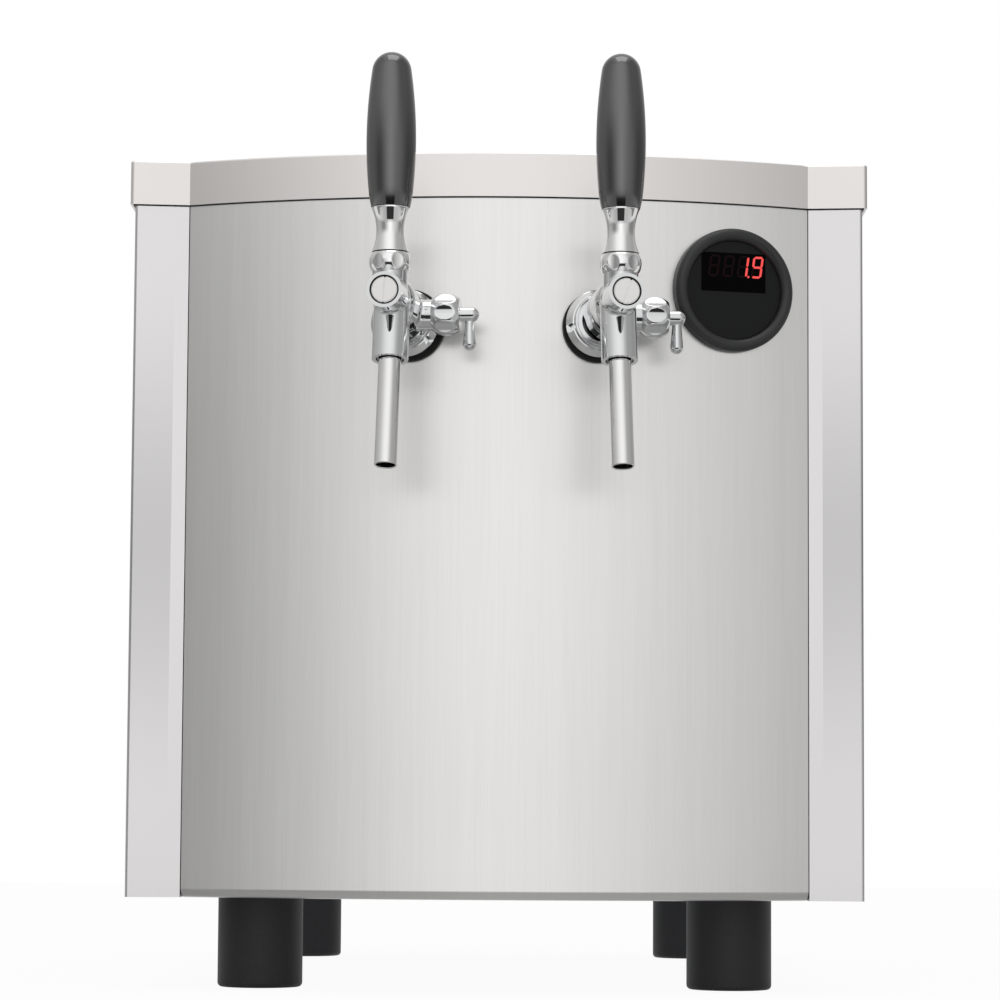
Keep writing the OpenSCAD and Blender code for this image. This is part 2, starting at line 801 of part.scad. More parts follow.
// Right side panel with its front strip and returns
module side_panel() {
    difference() {
        translate([0, 0, panel_z]) linear_extrude(panel_h) {
            translate([half_w - sheet, 0]) square([sheet, rear_in]);
            polygon([[half_w, 0], [half_w, sheet], [strip_edge_x, strip_edge_y + sheet],
                [strip_edge_x, strip_edge_y]]);
            translate([strip_edge_x, strip_edge_y]) square([sheet, return_w]);
            translate([half_w - return_w, base_rear]) square([return_w, sheet]);
        }
        translate([half_w, side_vent_y, vent_z]) rotate([0, 0, 90]) vents();
        at_seam_screws() screw_hole();
        at_rear_screws() screw_hole();
    }
}

module left_side_panel() {
    color("gainsboro") in_frame() mirror([1, 0, 0]) side_panel();
}

module right_side_panel() {
    color("gainsboro") in_frame() side_panel();
}

// Section of the bowed panel with its rolled lower edge
module front_profile() {
    translate([bow_r - sheet, panel_z + roll_r]) square([sheet, panel_h - roll_r]);
    translate([bow_r - roll_r, panel_z + roll_r]) intersection() {
        difference() {
            circle(r = roll_r, $fn = round_fn);
            circle(r = roll_r - sheet, $fn = round_fn);
        }
        translate([0, -roll_r]) square(roll_r);
    }
    translate([bow_r - roll_r - roll_lip, panel_z]) square([roll_lip, sheet]);
}

module front_panel() {
    return_z = panel_z + 2 * roll_r;
    color("silver") in_frame() difference() {
        union() {
            translate([0, bow_cy, 0]) rotate([0, 0, -90 - front_half_angle])
                rotate_extrude(angle = 2 * front_half_angle, $fn = bow_fn) front_profile();
            for (turn = [0, 1])
                mirror([turn, 0, 0])
                    translate([front_edge_x - sheet, front_edge_y + sheet / 2, return_z])
                        cube([sheet, return_w - sheet / 2, panel_top - return_z]);
        }
        for (side = [-1, 1])
            on_bow(tap_x(side), tap_z) rod_out(tail_d + 2 * hole_gap, -4 * sheet, 4 * sheet);
        on_bow(therm_x, therm_z) rod_out(case_d + 2 * hole_gap, -6 * sheet, 4 * sheet);
        at_seam_screws() screw_hole();
    }
}

module rear_panel() {
    color("gainsboro") in_frame() difference() {
        translate([-half_w, rear_in, panel_z]) cube([body_w, sheet, panel_h]);
        translate([rear_vent_x, rear_in, vent_z]) vents();
        at_rear_screws() screw_hole();
        at_lid_screws() screw_hole();
        at_inlets() rod_back(inlet_d + 2 * hole_gap, rear_in - over, body_d + over);
        translate([switch_x, 0, gland_z])
            rod_back(gland_thread_d + 2 * hole_gap, rear_in - over, body_d + over);
        translate([switch_x, rear_in, switch_z]) cube([switch_w, 4 * sheet, switch_h], center = true);
        translate([thermostat_x, 0, thermostat_z])
            rod_back(thermostat_shaft_d + 4 * hole_gap, rear_in - over, body_d + over);
    }
}

module lid() {
    color("gainsboro") in_frame() difference() {
        translate([0, 0, lid_z]) linear_extrude(lid_rim) plan(lid_over);
        translate([0, 0, lid_z - over]) linear_extrude(lid_rim - sheet + over) plan(lid_over - sheet);
        at_lid_screws() screw_hole();
    }
}

module cabinet_screws() {
    color("dimgray") in_frame() {
        at_rear_screws() screw();
        at_lid_screws() screw();
        at_seam_screws() screw();
    }
}

module at_feet() {
    for (side = [-1, 1])
        for (y = [foot_end_inset, body_d - foot_end_inset])
            translate([side * (half_w - foot_side_inset), y, 0]) children();
}

module foot() {
    bolt_z = foot_h - foot_clamp;
    difference() {
        rotate_extrude($fn = round_fn) difference() {
            square([foot_d / 2, foot_h]);
            translate([foot_d / 2 - foot_edge_r, 0]) difference() {
                translate([0, -over]) square([foot_edge_r + over, foot_edge_r + over]);
                translate([0, foot_edge_r]) circle(r = foot_edge_r, $fn = round_fn);
            }
        }
        translate([0, 0, -over]) cylinder(d = foot_recess_d, h = bolt_z + over, $fn = round_fn);
        cylinder(d = bolt_d + 2 * hole_gap, h = foot_h + over, $fn = round_fn);
    }
}

module placed_foot(side, end) {
    y = end < 0 ? foot_end_inset : body_d - foot_end_inset;
    color("#1c1c1c") in_frame() translate([side * (half_w - foot_side_inset), y, 0]) foot();
}

module foot_bolts() {
    bolt_z = foot_h - foot_clamp;
    nut_top = base_top + bolt_head_h;
    color("darkgray") in_frame() at_feet() {
        translate([0, 0, bolt_z - bolt_head_h])
            cylinder(d = bolt_hex_w / cos(180 / hex_fn), h = bolt_head_h, $fn = hex_fn);
        translate([0, 0, bolt_z - over])
            cylinder(d = bolt_d, h = nut_top + over - bolt_z + over, $fn = round_fn);
        difference() {
            translate([0, 0, base_top])
                cylinder(d = bolt_hex_w / cos(180 / hex_fn), h = bolt_head_h, $fn = hex_fn);
            translate([0, 0, base_top - over])
                cylinder(d = bolt_d + 2 * run_gap, h = bolt_head_h + 2 * over, $fn = round_fn);
        }
    }
}

// Thermometer

module thermometer_bezel() {
    crown = bezel_wall / 2;
    color("#202020") on_thermometer() difference() {
        turned_out() translate([bezel_in_d / 2, 0]) {
            translate([0, -2 * sheet]) square([bezel_wall, bezel_h - crown + 2 * sheet]);
            translate([crown, bezel_h - crown]) circle(r = crown, $fn = round_fn);
        }
        bow_solid(bow_r);
    }
}

module thermometer_face() {
    color("#2d2f31") on_thermometer() difference() {
        rod_out(bezel_in_d - 2 * run_gap, face_h - face_t, face_h);
        translate([0, -face_h, window_rise]) cube([window_w, 2 * window_depth, window_h], center = true);
    }
}

module thermometer_case() {
    color("#161616") on_thermometer() {
        rod_out(case_d, -case_len, face_h - face_t);
        rod_out(bezel_in_d - 2 * run_gap, face_h - face_t - case_lip_t, face_h - face_t);
    }
}

module thermometer_nut() {
    color("#303030") on_thermometer() intersection() {
        difference() {
            rod_out(bezel_d - 4 * sheet, -sheet - 3 * sheet - face_h, 0);
            rod_out(case_d + 2 * run_gap, -case_len, over);
        }
        bow_solid(bow_r - sheet);
    }
}

// One bar of a digit between two corners of its slanted box, given as shares of the width and height
module bar(a, b) {
    lean = tan(digit_slant);
    inset = digit_bar * 0.6;
    along = unit(b - a);
    across = [-along[1], along[0]] * digit_bar / 2;
    from = a + along * inset;
    to = b - along * inset;
    corners = [from + across, to + across, to - across, from - across];
    linear_extrude(window_depth) polygon([for (c = corners) [c[0] + c[1] * lean, c[1]]]);
}

// The seven bars of a digit, drawn from its lower left corner
module digit() {
    w = digit_w - digit_bar;
    h = digit_h - digit_bar;
    for (row = [0, 1, 2])
        bar([0, row * h / 2], [w, row * h / 2]);
    for (column = [0, 1], row = [0, 1])
        bar([column * w, row * h / 2], [column * w, (row + 1) * h / 2]);
}

module display_digits() {
    digits = 4;
    left = -((digits - 1) * digit_pitch + digit_w + digit_h * tan(digit_slant)) / 2 + digit_bar / 2;
    lower = window_rise - digit_h / 2 + digit_bar / 2;
    color("red") on_thermometer() translate([0, -face_h + window_depth, 0]) rotate([90, 0, 0]) {
        for (i = [0 : digits - 1])
            translate([left + i * digit_pitch, lower]) digit();
        translate([left + 2 * digit_pitch + digit_w + digit_bar / 4, lower])
            cylinder(d = digit_bar, h = window_depth, $fn = round_fn);
    }
}

// Taps

module tap_gasket(side) {
    color("#151515") on_tap(side) difference() {
        rod_out(gasket_d, -2 * sheet, gasket_t);
        rod_out(tail_d + 2 * hole_gap, -4 * sheet, gasket_t + over);
        bow_solid(bow_r);
    }
}

module tap_flange(side) {
    hole_r = (flange_d + flange_ring_d) / 4;
    edge = gasket_t + flange_edge;
    top = gasket_t + flange_h;
    color("lightgray") on_tap(side) difference() {
        turned_out() polygon([
            [tail_bore, gasket_t], [flange_d / 2, gasket_t], [flange_d / 2, edge], [flange_ring_d / 2, top],
            [flange_ring_d / 2, shank_start], [tail_bore, shank_start]
        ]);
        for (i = [0 : spanner_holes - 1])
            rotate([0, (i + 0.5) * 360 / spanner_holes, 0])
                translate([hole_r, 0, 0]) rod_out(spanner_hole_d, edge - over, top + over);
    }
}

// Outside of the tap body
module tap_body_form() {
    barrel_shank = barrel_reach - barrel_d / 4;
    turned_out() polygon([
        [0, -tail_len], [tail_d / 2 - over, -tail_len], [tail_d / 2, over - tail_len], [tail_d / 2,
            shank_start],
        [shank_d / 2, shank_start], [shank_end_d / 2, barrel_shank], [0, barrel_shank]
    ]);
    on_valve() rod_out(boss_d, barrel_shank - boss_d, boss_reach);
    on_barrel() translate([0, 0, -barrel_len]) cylinder(d = barrel_d, h = barrel_len, $fn = round_fn);
    translate([0, -lever_reach, valve_rise])
        cylinder(d = neck_d, h = collar_z - valve_rise, $fn = round_fn);
    translate([0, -lever_reach, collar_z - over])
        cylinder(d = pivot_d + 2 * run_gap + 2 * collar_wall, h = collar_spigot + over, $fn = round_fn);
    on_compensator() rod_right(comp_neck_d, 0, comp_neck_len);
}

// Room for the lever's finger between its closed and open places
module finger_slot() {
    back = plunger_travel + finger_d / 2 - pass_gap;
    front = finger_d / 2 + 2 * pass_gap;
    width = finger_ball_d + 2 * pass_gap;
    translate([-width / 2, -lever_reach - front, valve_rise])
        cube([width, front + back, plunger_d / 2 + 3]);
}

module tap_body(side) {
    color("lightgray") on_tap(side) difference() {
        tap_body_form();
        rod_out(passage_d, -tail_len - over, valve_back + finger_d);
        on_valve() {
            rod_out(plunger_d + 2 * run_gap, valve_back, plug_back + over);
            rod_out(plunger_d + 2 * valve_room, valve_back, plunger_back - valve_room);
            rod_out(plug_thread_d, plug_back, boss_reach + over);
            rod_out(plug_d + 2 * hole_gap, boss_reach - over, boss_reach + over);
        }
        finger_slot();
        on_pivot() translate([0, 0, -pivot_d / 2 - pass_gap])
            cylinder(d = pivot_d + 2 * run_gap, h = 2 * pivot_d, $fn = round_fn);
        on_barrel() {
            translate([0, 0, -barrel_len])
                cylinder(d = spout_d - 2 * spout_wall, h = barrel_len, $fn = round_fn);
            translate([0, 0, -barrel_len - over])
                cylinder(d = spout_seat_d + 2 * run_gap, h = spout_seat + over, $fn = round_fn);
            translate([0, 0, -barrel_len - over])
                cylinder(d = barrel_recess_d, h = barrel_recess + over, $fn = round_fn);
        }
        on_compensator() rod_right(crank_d + 2 * pass_gap, 0, comp_neck_len + over);
    }
}

module tap_front_plug(side) {
    head = boss_reach - over;
    color("whitesmoke") on_tap(side) on_valve() difference() {
        union() {
            rod_out(plug_thread_d - 2 * run_gap, plug_back + run_gap, boss_reach);
            rod_out(plug_d, head, boss_reach - hole_gap);
        }
        translate([0, -boss_reach, 0]) cube([plug_slot_w, 2 * over, plug_d + over], center = true);
    }
}

// Flutes cut into a round form of diameter d about Z
module flute_cuts(d, depth, h) {
    for (i = [0 : flutes - 1])
        rotate([0, 0, (i + 0.5) * 360 / flutes])
            translate([d / 2 + flute_r - depth, 0, 0])
                cylinder(r = flute_r, h = h, center = true, $fn = round_fn);
}

// Half section of the collar nut about the pivot: a bulging side under a dome
module collar_profile() {
    intersection() {
        translate([0, -collar_drop]) square(collar_ball_r + collar_drop);
        circle(r = collar_ball_r, $fn = bow_fn);
        union() {
            translate([collar_d / 2 - collar_bulge_r, collar_h / 2 - collar_drop])
                circle(r = collar_bulge_r, $fn = bow_fn);
            translate([0, collar_h / 2]) square([ferrule_d / 2 - pass_gap, collar_ball_r]);
        }
    }
}

// Room for the stem between its closed and open places
module stem_slot() {
    r = stem_d / 2 + pass_gap;
    reach = 2 * collar_ball_r;
    lean = [-sin(lever_range), cos(lever_range)];
    ahead = r * [-cos(lever_range), -sin(lever_range)];
    rotate([90, 0, 90]) linear_extrude(2 * r, center = true)
        polygon([[r, 0], [r, reach], reach * lean + ahead, ahead]);
}

module tap_collar_nut(side) {
    spigot_r = pivot_d / 2 + run_gap + collar_wall + run_gap;
    color("lightgray") on_tap(side) on_pivot() difference() {
        rotate_extrude($fn = round_fn) collar_profile();
        translate([0, 0, -collar_drop - over])
            cylinder(r = spigot_r, h = collar_spigot + run_gap + over, $fn = round_fn);
        sphere(d = pivot_d + 2 * hole_gap, $fn = round_fn);
        stem_slot();
        flute_cuts(collar_d, collar_flute, 4 * collar_ball_r);
    }
}

// Side of the ferrule: one arc through its base, waist and top
module ferrule_profile() {
    dip = (ferrule_d - ferrule_waist_d) / 2;
    arc_r = (pow(ferrule_h / 2, 2) + pow(dip, 2)) / (2 * dip);
    difference() {
        square([ferrule_d / 2, ferrule_h]);
        translate([ferrule_waist_d / 2 + arc_r, ferrule_h / 2]) circle(r = arc_r, $fn = bow_fn);
    }
}

module tap_lever(side) {
    cup_r = collar_ball_r + pass_gap;
    base = ferrule_z - pivot_z;
    color("lightgray") on_tap(side) on_pivot() {
        difference() {
            union() {
                translate([0, 0, base]) rotate_extrude($fn = round_fn) ferrule_profile();
                cylinder(d = stem_d, h = base + ferrule_h + stem_grip, $fn = round_fn);
            }
            difference() {
                sphere(r = cup_r, $fn = round_fn);
                cylinder(d = stem_d, h = 2 * cup_r, $fn = round_fn);
            }
        }
        sphere(d = pivot_d, $fn = round_fn);
        translate([0, 0, -pivot_rise]) cylinder(d = finger_d, h = pivot_rise, $fn = round_fn);
        translate([0, 0, -pivot_rise]) sphere(d = finger_ball_d, $fn = round_fn);
    }
}

// Half section of the handle from its flat base to its round top
module handle_profile() {
    intersection() {
        translate([handle_r - handle_curve_r, handle_belly]) circle(r = handle_curve_r, $fn = bow_fn);
        square([handle_r + over, handle_shoulder]);
    }
    intersection() {
        translate([0, handle_top_z]) circle(r = handle_top_r, $fn = round_fn);
        translate([0, handle_shoulder - over]) square([handle_top_r, 2 * handle_top_r]);
    }
}

module tap_handle(side) {
    color("#111111") on_tap(side) translate([0, -lever_reach, handle_z]) difference() {
        rotate_extrude($fn = round_fn) handle_profile();
        translate([0, 0, -over])
            cylinder(d = stem_d + 2 * run_gap, h = stem_grip + hole_gap + over, $fn = round_fn);
    }
}

module tap_plunger(side) {
    width = finger_ball_d + 2 * pass_gap;
    flare = 1.4;
    color("goldenrod") on_tap(side) on_valve() difference() {
        union() {
            rod_out(plunger_d, plunger_back, plunger_back + plunger_head);
            rod_out(plunger_stem_d, plunger_back, guide_back + over);
            rod_out(plunger_d, guide_back, plunger_back + plunger_len);
        }
        translate([-width / 2, -lever_reach - finger_room, -finger_ball_d / 2 - pass_gap])
            cube([width, 2 * finger_room, plunger_d]);
        translate([-width / 2, -lever_reach - finger_room - flare, finger_ball_d / 2 - pass_gap])
            cube([width, finger_room, plunger_d]);
    }
}

module tap_spout(side) {
    length = spout_len + spout_seat;
    color("silver") on_tap(side) on_barrel() translate([0, 0, -barrel_len - spout_len]) difference() {
        union() {
            cylinder(d = spout_d, h = spout_len, $fn = round_fn);
            cylinder(d = spout_seat_d, h = length - run_gap, $fn = round_fn);
        }
        translate([0, 0, -over])
            cylinder(d = spout_d - 2 * spout_wall, h = length + 2 * over, $fn = round_fn);
    }
}

module tap_back_nut(side) {
    color("darkgoldenrod") on_tap(side) intersection() {
        difference() {
            hex_back(back_nut_w, 0, sheet + back_nut_h);
            rod_back(tail_d + 2 * run_gap, -over, sheet + back_nut_h + over);
        }
        bow_solid(bow_r - sheet);
    }
}

// Half section of the bonnet: a ball cut flat at both ends, with the spindle's bore
module bonnet_profile() {
    intersection() {
        circle(d = bonnet_d, $fn = bow_fn);
        translate([spindle_d / 2 + run_gap, -bonnet_len / 2]) square([bonnet_d, bonnet_len]);
    }
}

module compensator_bonnet(side) {
    color("lightgray") on_tap(side) on_compensator()
        translate([bonnet_x + bonnet_len / 2, 0, 0]) rotate([0, 90, 0]) difference() {
            rotate_extrude($fn = round_fn) bonnet_profile();
            flute_cuts(bonnet_d, bonnet_flute, 2 * bonnet_len);
        }
}

module compensator_lever(side) {
    dome_x = hub_x + hub_len - hub_d / 2;
    color("lightgray") on_tap(side) on_compensator() {
        rod_right(spindle_d, spindle_in, hub_x + over);
        rod_right(crank_d, spindle_in, spindle_in + crank_t);
        rod_right(hub_d, hub_x, dome_x);
        translate([dome_x, 0, 0]) sphere(d = hub_d, $fn = round_fn);
        translate([arm_x, 0, -arm_len]) {
            cylinder(d1 = arm_end_d, d2 = arm_root_d, h = arm_len, $fn = round_fn);
            sphere(d = arm_end_d, $fn = round_fn);
        }
        translate([0, 0, pin_throw]) rod_right(pin_d, pin_in, spindle_in + crank_t / 2);
    }
}

module compensator_cone(side) {
    head = comp_reach + pin_room + groove_collar;
    groove = comp_reach - pin_room;
    tip = comp_reach - cone_len;
    color("goldenrod") on_tap(side) turned_out() polygon([
        [0, tip], [cone_tip_d / 2, tip], [cone_d / 2, groove - groove_collar], [cone_d / 2, groove],
        [groove_core_d / 2, groove], [groove_core_d / 2, comp_reach + pin_room],
        [cone_d / 2, comp_reach + pin_room], [cone_d / 2, head], [0, head]
    ]);
}

// Cooling

function line_port_x(side) = behind_bow(tap_x(side), foam_y - tap_drop / 4, tap_z)[0];

// Beer line from a tap's tail to the cold block
function tap_route(side) = [
    behind_bow(tap_x(side), tail_len - line_d, tap_z),
    behind_bow(tap_x(side), tail_len + line_d, tap_z),
    [line_port_x(side), foam_y - line_d / 2, tap_z],
    [line_port_x(side), block_front - end_gap, tap_z]
];

// Beer line from an inlet fitting to the cold block
function inlet_route(side) = [
    [side * inlet_spacing / 2, rear_in - 3 * inlet_hex_t, inlet_z],
    [side * inlet_spacing / 2, compressor_y, inlet_z],
    [side * inlet_spacing / 2, foam_rear + 6 * line_d, rear_port_z],
    [side * inlet_spacing / 2, block_rear + end_gap, rear_port_z]
];

function pipe_routes() = [
    // From the compressor to the condenser
    [
        [shell_right + end_gap, compressor_y, shell_z + discharge_h],
        [pipe_lane, compressor_y, shell_z + discharge_h],
        [pipe_lane, compressor_y + comp_shell_d / 4, cond_high_z],
        [pipe_lane, cond_mid_y, cond_high_z],
        [cond_left - end_gap, cond_mid_y, cond_high_z]
    ],
    // From the condenser to the cold block
    [
        [cond_left - end_gap, cond_mid_y, cond_low_z],
        [pipe_lane, cond_mid_y, cond_low_z],
        [pipe_lane, compressor_y - comp_shell_d / 2 - pipe_d, (cond_low_z + liquid_port[2]) / 2],
        [liquid_port[0], foam_rear + 5 * pipe_d, liquid_port[2]],
        [liquid_port[0], liquid_port[1] + end_gap, liquid_port[2]]
    ],
    // From the cold block to the compressor
    [
        [suction_port[0], suction_port[1] + end_gap, suction_port[2]],
        [suction_port[0], foam_rear + 5 * pipe_d, suction_port[2]],
        [compressor_x, compressor_y - comp_shell_d / 2 - 2.5 * pipe_d, shell_z + suction_h],
        [compressor_x, compressor_y - comp_shell_d / 2 - end_gap, shell_z + suction_h]
    ]
];

module cold_block() {
    color("lightsteelblue") in_frame()
        translate([-block_w / 2, block_front, block_z]) cube([block_w, block_d, block_h]);
}

module insulation_box() {
    foam_w = block_w + 2 * foam_wall;
    color("khaki") in_frame() difference() {
        translate([-foam_w / 2, foam_y, base_top]) cube([foam_w, foam_rear - foam_y, foam_top - base_top]);
        translate([-block_w / 2, block_front, block_z]) cube([block_w, block_d, block_h]);
        for (side = [-1, 1]) {
            translate([line_port_x(side), 0, tap_z])
                rod_back(line_d + 2 * hole_gap, foam_y - over, block_front + over);
            translate([side * inlet_spacing / 2, 0, rear_port_z])
                rod_back(line_d + 2 * hole_gap, block_rear - over, foam_rear + over);
        }
        for (port = [liquid_port, suction_port])
            translate([port[0], 0, port[2]])
                rod_back(pipe_d + 2 * hole_gap, block_rear - over, foam_rear + over);
    }
}

module compressor() {
    color("#222222") in_frame() translate([compressor_x, compressor_y, 0]) {
        translate([0, 0, shell_z]) rotate_extrude($fn = round_fn) {
            square([comp_shell_d / 2, comp_shell_h - comp_dome_r]);
            square([comp_shell_d / 2 - comp_dome_r, comp_shell_h]);
            translate([comp_shell_d / 2 - comp_dome_r, comp_shell_h - comp_dome_r])
                intersection() {
                    circle(r = comp_dome_r, $fn = round_fn);
                    square(comp_dome_r);
                }
        }
        translate([-comp_plate_w / 2, -comp_plate_w / 2, plate_z])
            cube([comp_plate_w, comp_plate_w, comp_plate_t]);
    }
}

module compressor_grommets() {
    color("#1a1a1a") in_frame() translate([compressor_x, compressor_y, base_top])
        for (sx = [-1, 1], sy = [-1, 1])
            translate([sx * grommet_step, sy * grommet_step, 0]) difference() {
                cylinder(d = grommet_d, h = grommet_h, $fn = round_fn);
                translate([0, 0, -over])
                    cylinder(d = grommet_d / 3, h = grommet_h + 2 * over, $fn = round_fn);
            }
}

module condenser() {
    fins = floor((cond_w - 2 * sheet) / fin_pitch) - 1;
    fin_z = base_top + cond_foot;
    color("slategray") in_frame() {
        for (x = [cond_left, cond_right - sheet])
            translate([x, cond_front, base_top]) cube([sheet, cond_d, cond_h]);
        for (i = [1 : fins])
            translate([cond_left + i * fin_pitch, cond_front + sheet, fin_z])
                cube([fin_t, cond_d - 2 * sheet, cond_h - cond_foot - sheet]);
        for (row = [1 : cond_rows])
            for (column = [1, 3])
                translate([0, cond_front + column * cond_d / 4,
                    fin_z + row * (cond_h - cond_foot) / (cond_rows + 1)])
                    rod_right(cond_tube_d, cond_left, cond_right);
    }
}

// Plate with the fan's opening, and the bar in front of it that carries the motor
module fan_bracket() {
    bar_h = fan_open_d + 2 * motor_bar_w / 2;
    leg = bracket_y - bar_front;
    color("dimgray") in_frame() {
        difference() {
            translate([cond_left, bracket_y, base_top]) cube([cond_w, sheet, cond_h]);
            translate([fan_x, 0, fan_z]) rod_back(fan_open_d, bracket_y - over, bracket_y + sheet + over);
        }
        translate([fan_x - motor_bar_w / 2, bar_front, fan_z - bar_h / 2])
            cube([motor_bar_w, bar_t, bar_h]);
        for (z = [fan_z - bar_h / 2, fan_z + bar_h / 2 - bar_t])
            translate([fan_x - motor_bar_w / 2, bar_front, z]) cube([motor_bar_w, leg + sheet / 2, bar_t]);
    }
}

module fan_motor() {
    color("gray") in_frame() translate([fan_x, 0, fan_z]) {
        rod_back(motor_d, motor_front, motor_rear);
        rod_back(motor_shaft_d, motor_rear - over, hub_front + fan_hub_len);
    }
}

module fan_blades() {
    root = fan_hub_d / 2 - 2;
    color("#2a2a2a") in_frame() translate([fan_x, 0, fan_z]) difference() {
        union() {
            rod_back(fan_hub_d, hub_front, hub_front + fan_hub_len);
            intersection() {
                rod_back(fan_d, fan_y - blade_w, fan_y + blade_w);
                for (i = [0 : blades - 1])
                    translate([0, fan_y, 0]) rotate([0, i * 360 / blades, 0]) rotate([blade_pitch, 0, 0])
                        translate([root, -blade_t / 2, -blade_w / 2]) cube([fan_d, blade_t, blade_w]);
            }
        }
        rod_back(motor_shaft_d + 2 * run_gap, hub_front - over, hub_front + fan_hub_len + over);
    }
}

module refrigerant_pipes() {
    color("peru") in_frame()
        for (route = pipe_routes())
            tube(route, pipe_d, pipe_wall);
}

module beer_lines() {
    color("azure") in_frame()
        for (side = [-1, 1]) {
            tube(tap_route(side), line_d, line_wall);
            tube(inlet_route(side), line_d, line_wall);
        }
}

// Along the inside of the right panel, from the cable gland to the thermometer
module wiring_loom() {
    wall_x = half_w - sheet - loom_d / 2 - end_gap;
    case_end = behind_bow(therm_x, case_len + end_gap, therm_z);
    case_out = behind_bow(therm_x, case_len + 3 * loom_d, therm_z);
    color("#333333") in_frame() tube([
        [switch_x, rear_in - gland_tail - end_gap, gland_z],
        [switch_x, rear_in - gland_tail - 5 * loom_d, gland_z],
        [wall_x, rear_in - gland_tail - 20 * loom_d, gland_z],
        [wall_x, foam_rear, therm_z],
        [wall_x, foam_y + 8 * loom_d, therm_z],
        [therm_x, foam_y - 2 * loom_d, therm_z],
        case_out,
        case_end
    ], loom_d, loom_d / 4, 8);
}

// Rear

module at_inlets() {
    for (side = [-1, 1])
        translate([side * inlet_spacing / 2, 0, inlet_z]) children();
}

module inlet_fittings() {
    color("silver") in_frame() at_inlets() {
        difference() {
            union() {
                rod_back(inlet_d, rear_in - 2 * inlet_hex_t, body_d + inlet_reach);
                hex_back(inlet_hex_w, body_d, body_d + inlet_hex_t);
            }
            rod_back(inlet_bore_d, body_d + inlet_reach - inlet_bore_len, body_d + inlet_reach + over);
            rod_back(line_d - 2 * line_wall, rear_in - 3 * inlet_hex_t, body_d + inlet_reach);
            rod_back(line_d + 2 * run_gap, rear_in - 3 * inlet_hex_t, rear_in);
        }
        difference() {
            hex_back(inlet_hex_w, rear_in - inlet_hex_t, rear_in);
            rod_back(inlet_d + 2 * run_gap, rear_in - inlet_hex_t - over, rear_in + over);
        }
    }
}

module mains_gland() {
    nut_t = 5;
    grip_t = 8;
    color("#1e1e1e") in_frame() translate([switch_x, 0, gland_z]) {
        difference() {
            union() {
                rod_back(gland_thread_d, rear_in - gland_tail, body_d + over);
                hex_back(gland_d, body_d, body_d + grip_t);
                rod_back(gland_thread_d, body_d, body_d + gland_reach);
            }
            rod_back(gland_bore_d, rear_in - gland_tail - over, body_d + gland_reach + over);
        }
        difference() {
            hex_back(gland_d + 2, rear_in - nut_t, rear_in);
            rod_back(gland_thread_d + 2 * run_gap, rear_in - nut_t - over, rear_in + over);
        }
    }
}

module power_switch_frame() {
    in_w = rocker_w + 2 * hole_gap;
    in_h = 2 * rocker_r + 2 * hole_gap;
    hole_w = switch_w - 2 * hole_gap;
    hole_h = switch_h - 2 * hole_gap;
    color("#181818") in_frame() translate([switch_x, 0, switch_z]) difference() {
        union() {
            translate([-hole_w / 2, rear_in - switch_depth, -hole_h / 2])
                cube([hole_w, switch_depth + sheet, hole_h]);
            translate([-switch_w / 2 - switch_lip, body_d, -switch_h / 2 - switch_lip])
                cube([switch_w + 2 * switch_lip, switch_lip, switch_h + 2 * switch_lip]);
        }
        translate([-in_w / 2, rocker_y - rocker_r - hole_gap, -in_h / 2])
            cube([in_w, 2 * rocker_r + 2 * over, in_h]);
        translate([0, rocker_y, 0])
            rod_right(rocker_pin_d + 2 * run_gap, -in_w / 2 - rocker_pin_len, in_w / 2 + rocker_pin_len);
    }
}

// Rocker with two faces that meet in a shallow valley, at rest with its lower half pressed
module power_switch_rocker() {
    tilt = rocker_range / 2;
    pin_reach = rocker_w / 2 + rocker_pin_len;
    color("#a01818") in_frame() translate([switch_x, rocker_y, switch_z]) rotate([tilt, 0, 0]) {
        intersection() {
            rod_right(2 * rocker_r, -rocker_w / 2, rocker_w / 2);
            rotate([90, 0, 90]) linear_extrude(rocker_w, center = true) polygon([
                [-rocker_r / 2, -rocker_r], [rocker_face + rocker_r * tan(tilt), -rocker_r],
                    [rocker_face, 0],
                [rocker_face + rocker_r * tan(tilt), rocker_r], [-rocker_r / 2, rocker_r]
            ]);
        }
        rod_right(rocker_pin_d, -pin_reach, pin_reach);
    }
}

module thermostat_body() {
    color("#2c2c2c") in_frame() translate([thermostat_x, 0, thermostat_z]) {
        translate([-thermostat_w / 2, rear_in - thermostat_d, -thermostat_w / 2])
            cube([thermostat_w, thermostat_d, thermostat_w]);
        rod_back(thermostat_shaft_d, rear_in - over, body_d + knob_h - 2 * over);
    }
}

module thermostat_knob() {
    skirt = 3;
    back = body_d + hole_gap;
    pointer_w = 2;
    color("#202020") in_frame() translate([thermostat_x, 0, thermostat_z]) difference() {
        union() {
            rod_back(knob_d, back, back + skirt);
            rod_back(knob_d - 2 * skirt, back, back + knob_h);
        }
        rod_back(thermostat_shaft_d + 2 * run_gap, back - over, back + knob_h - over);
        translate([-pointer_w / 2, back + knob_h - over, 0]) cube([pointer_w, 2 * over, knob_d]);
    }
}

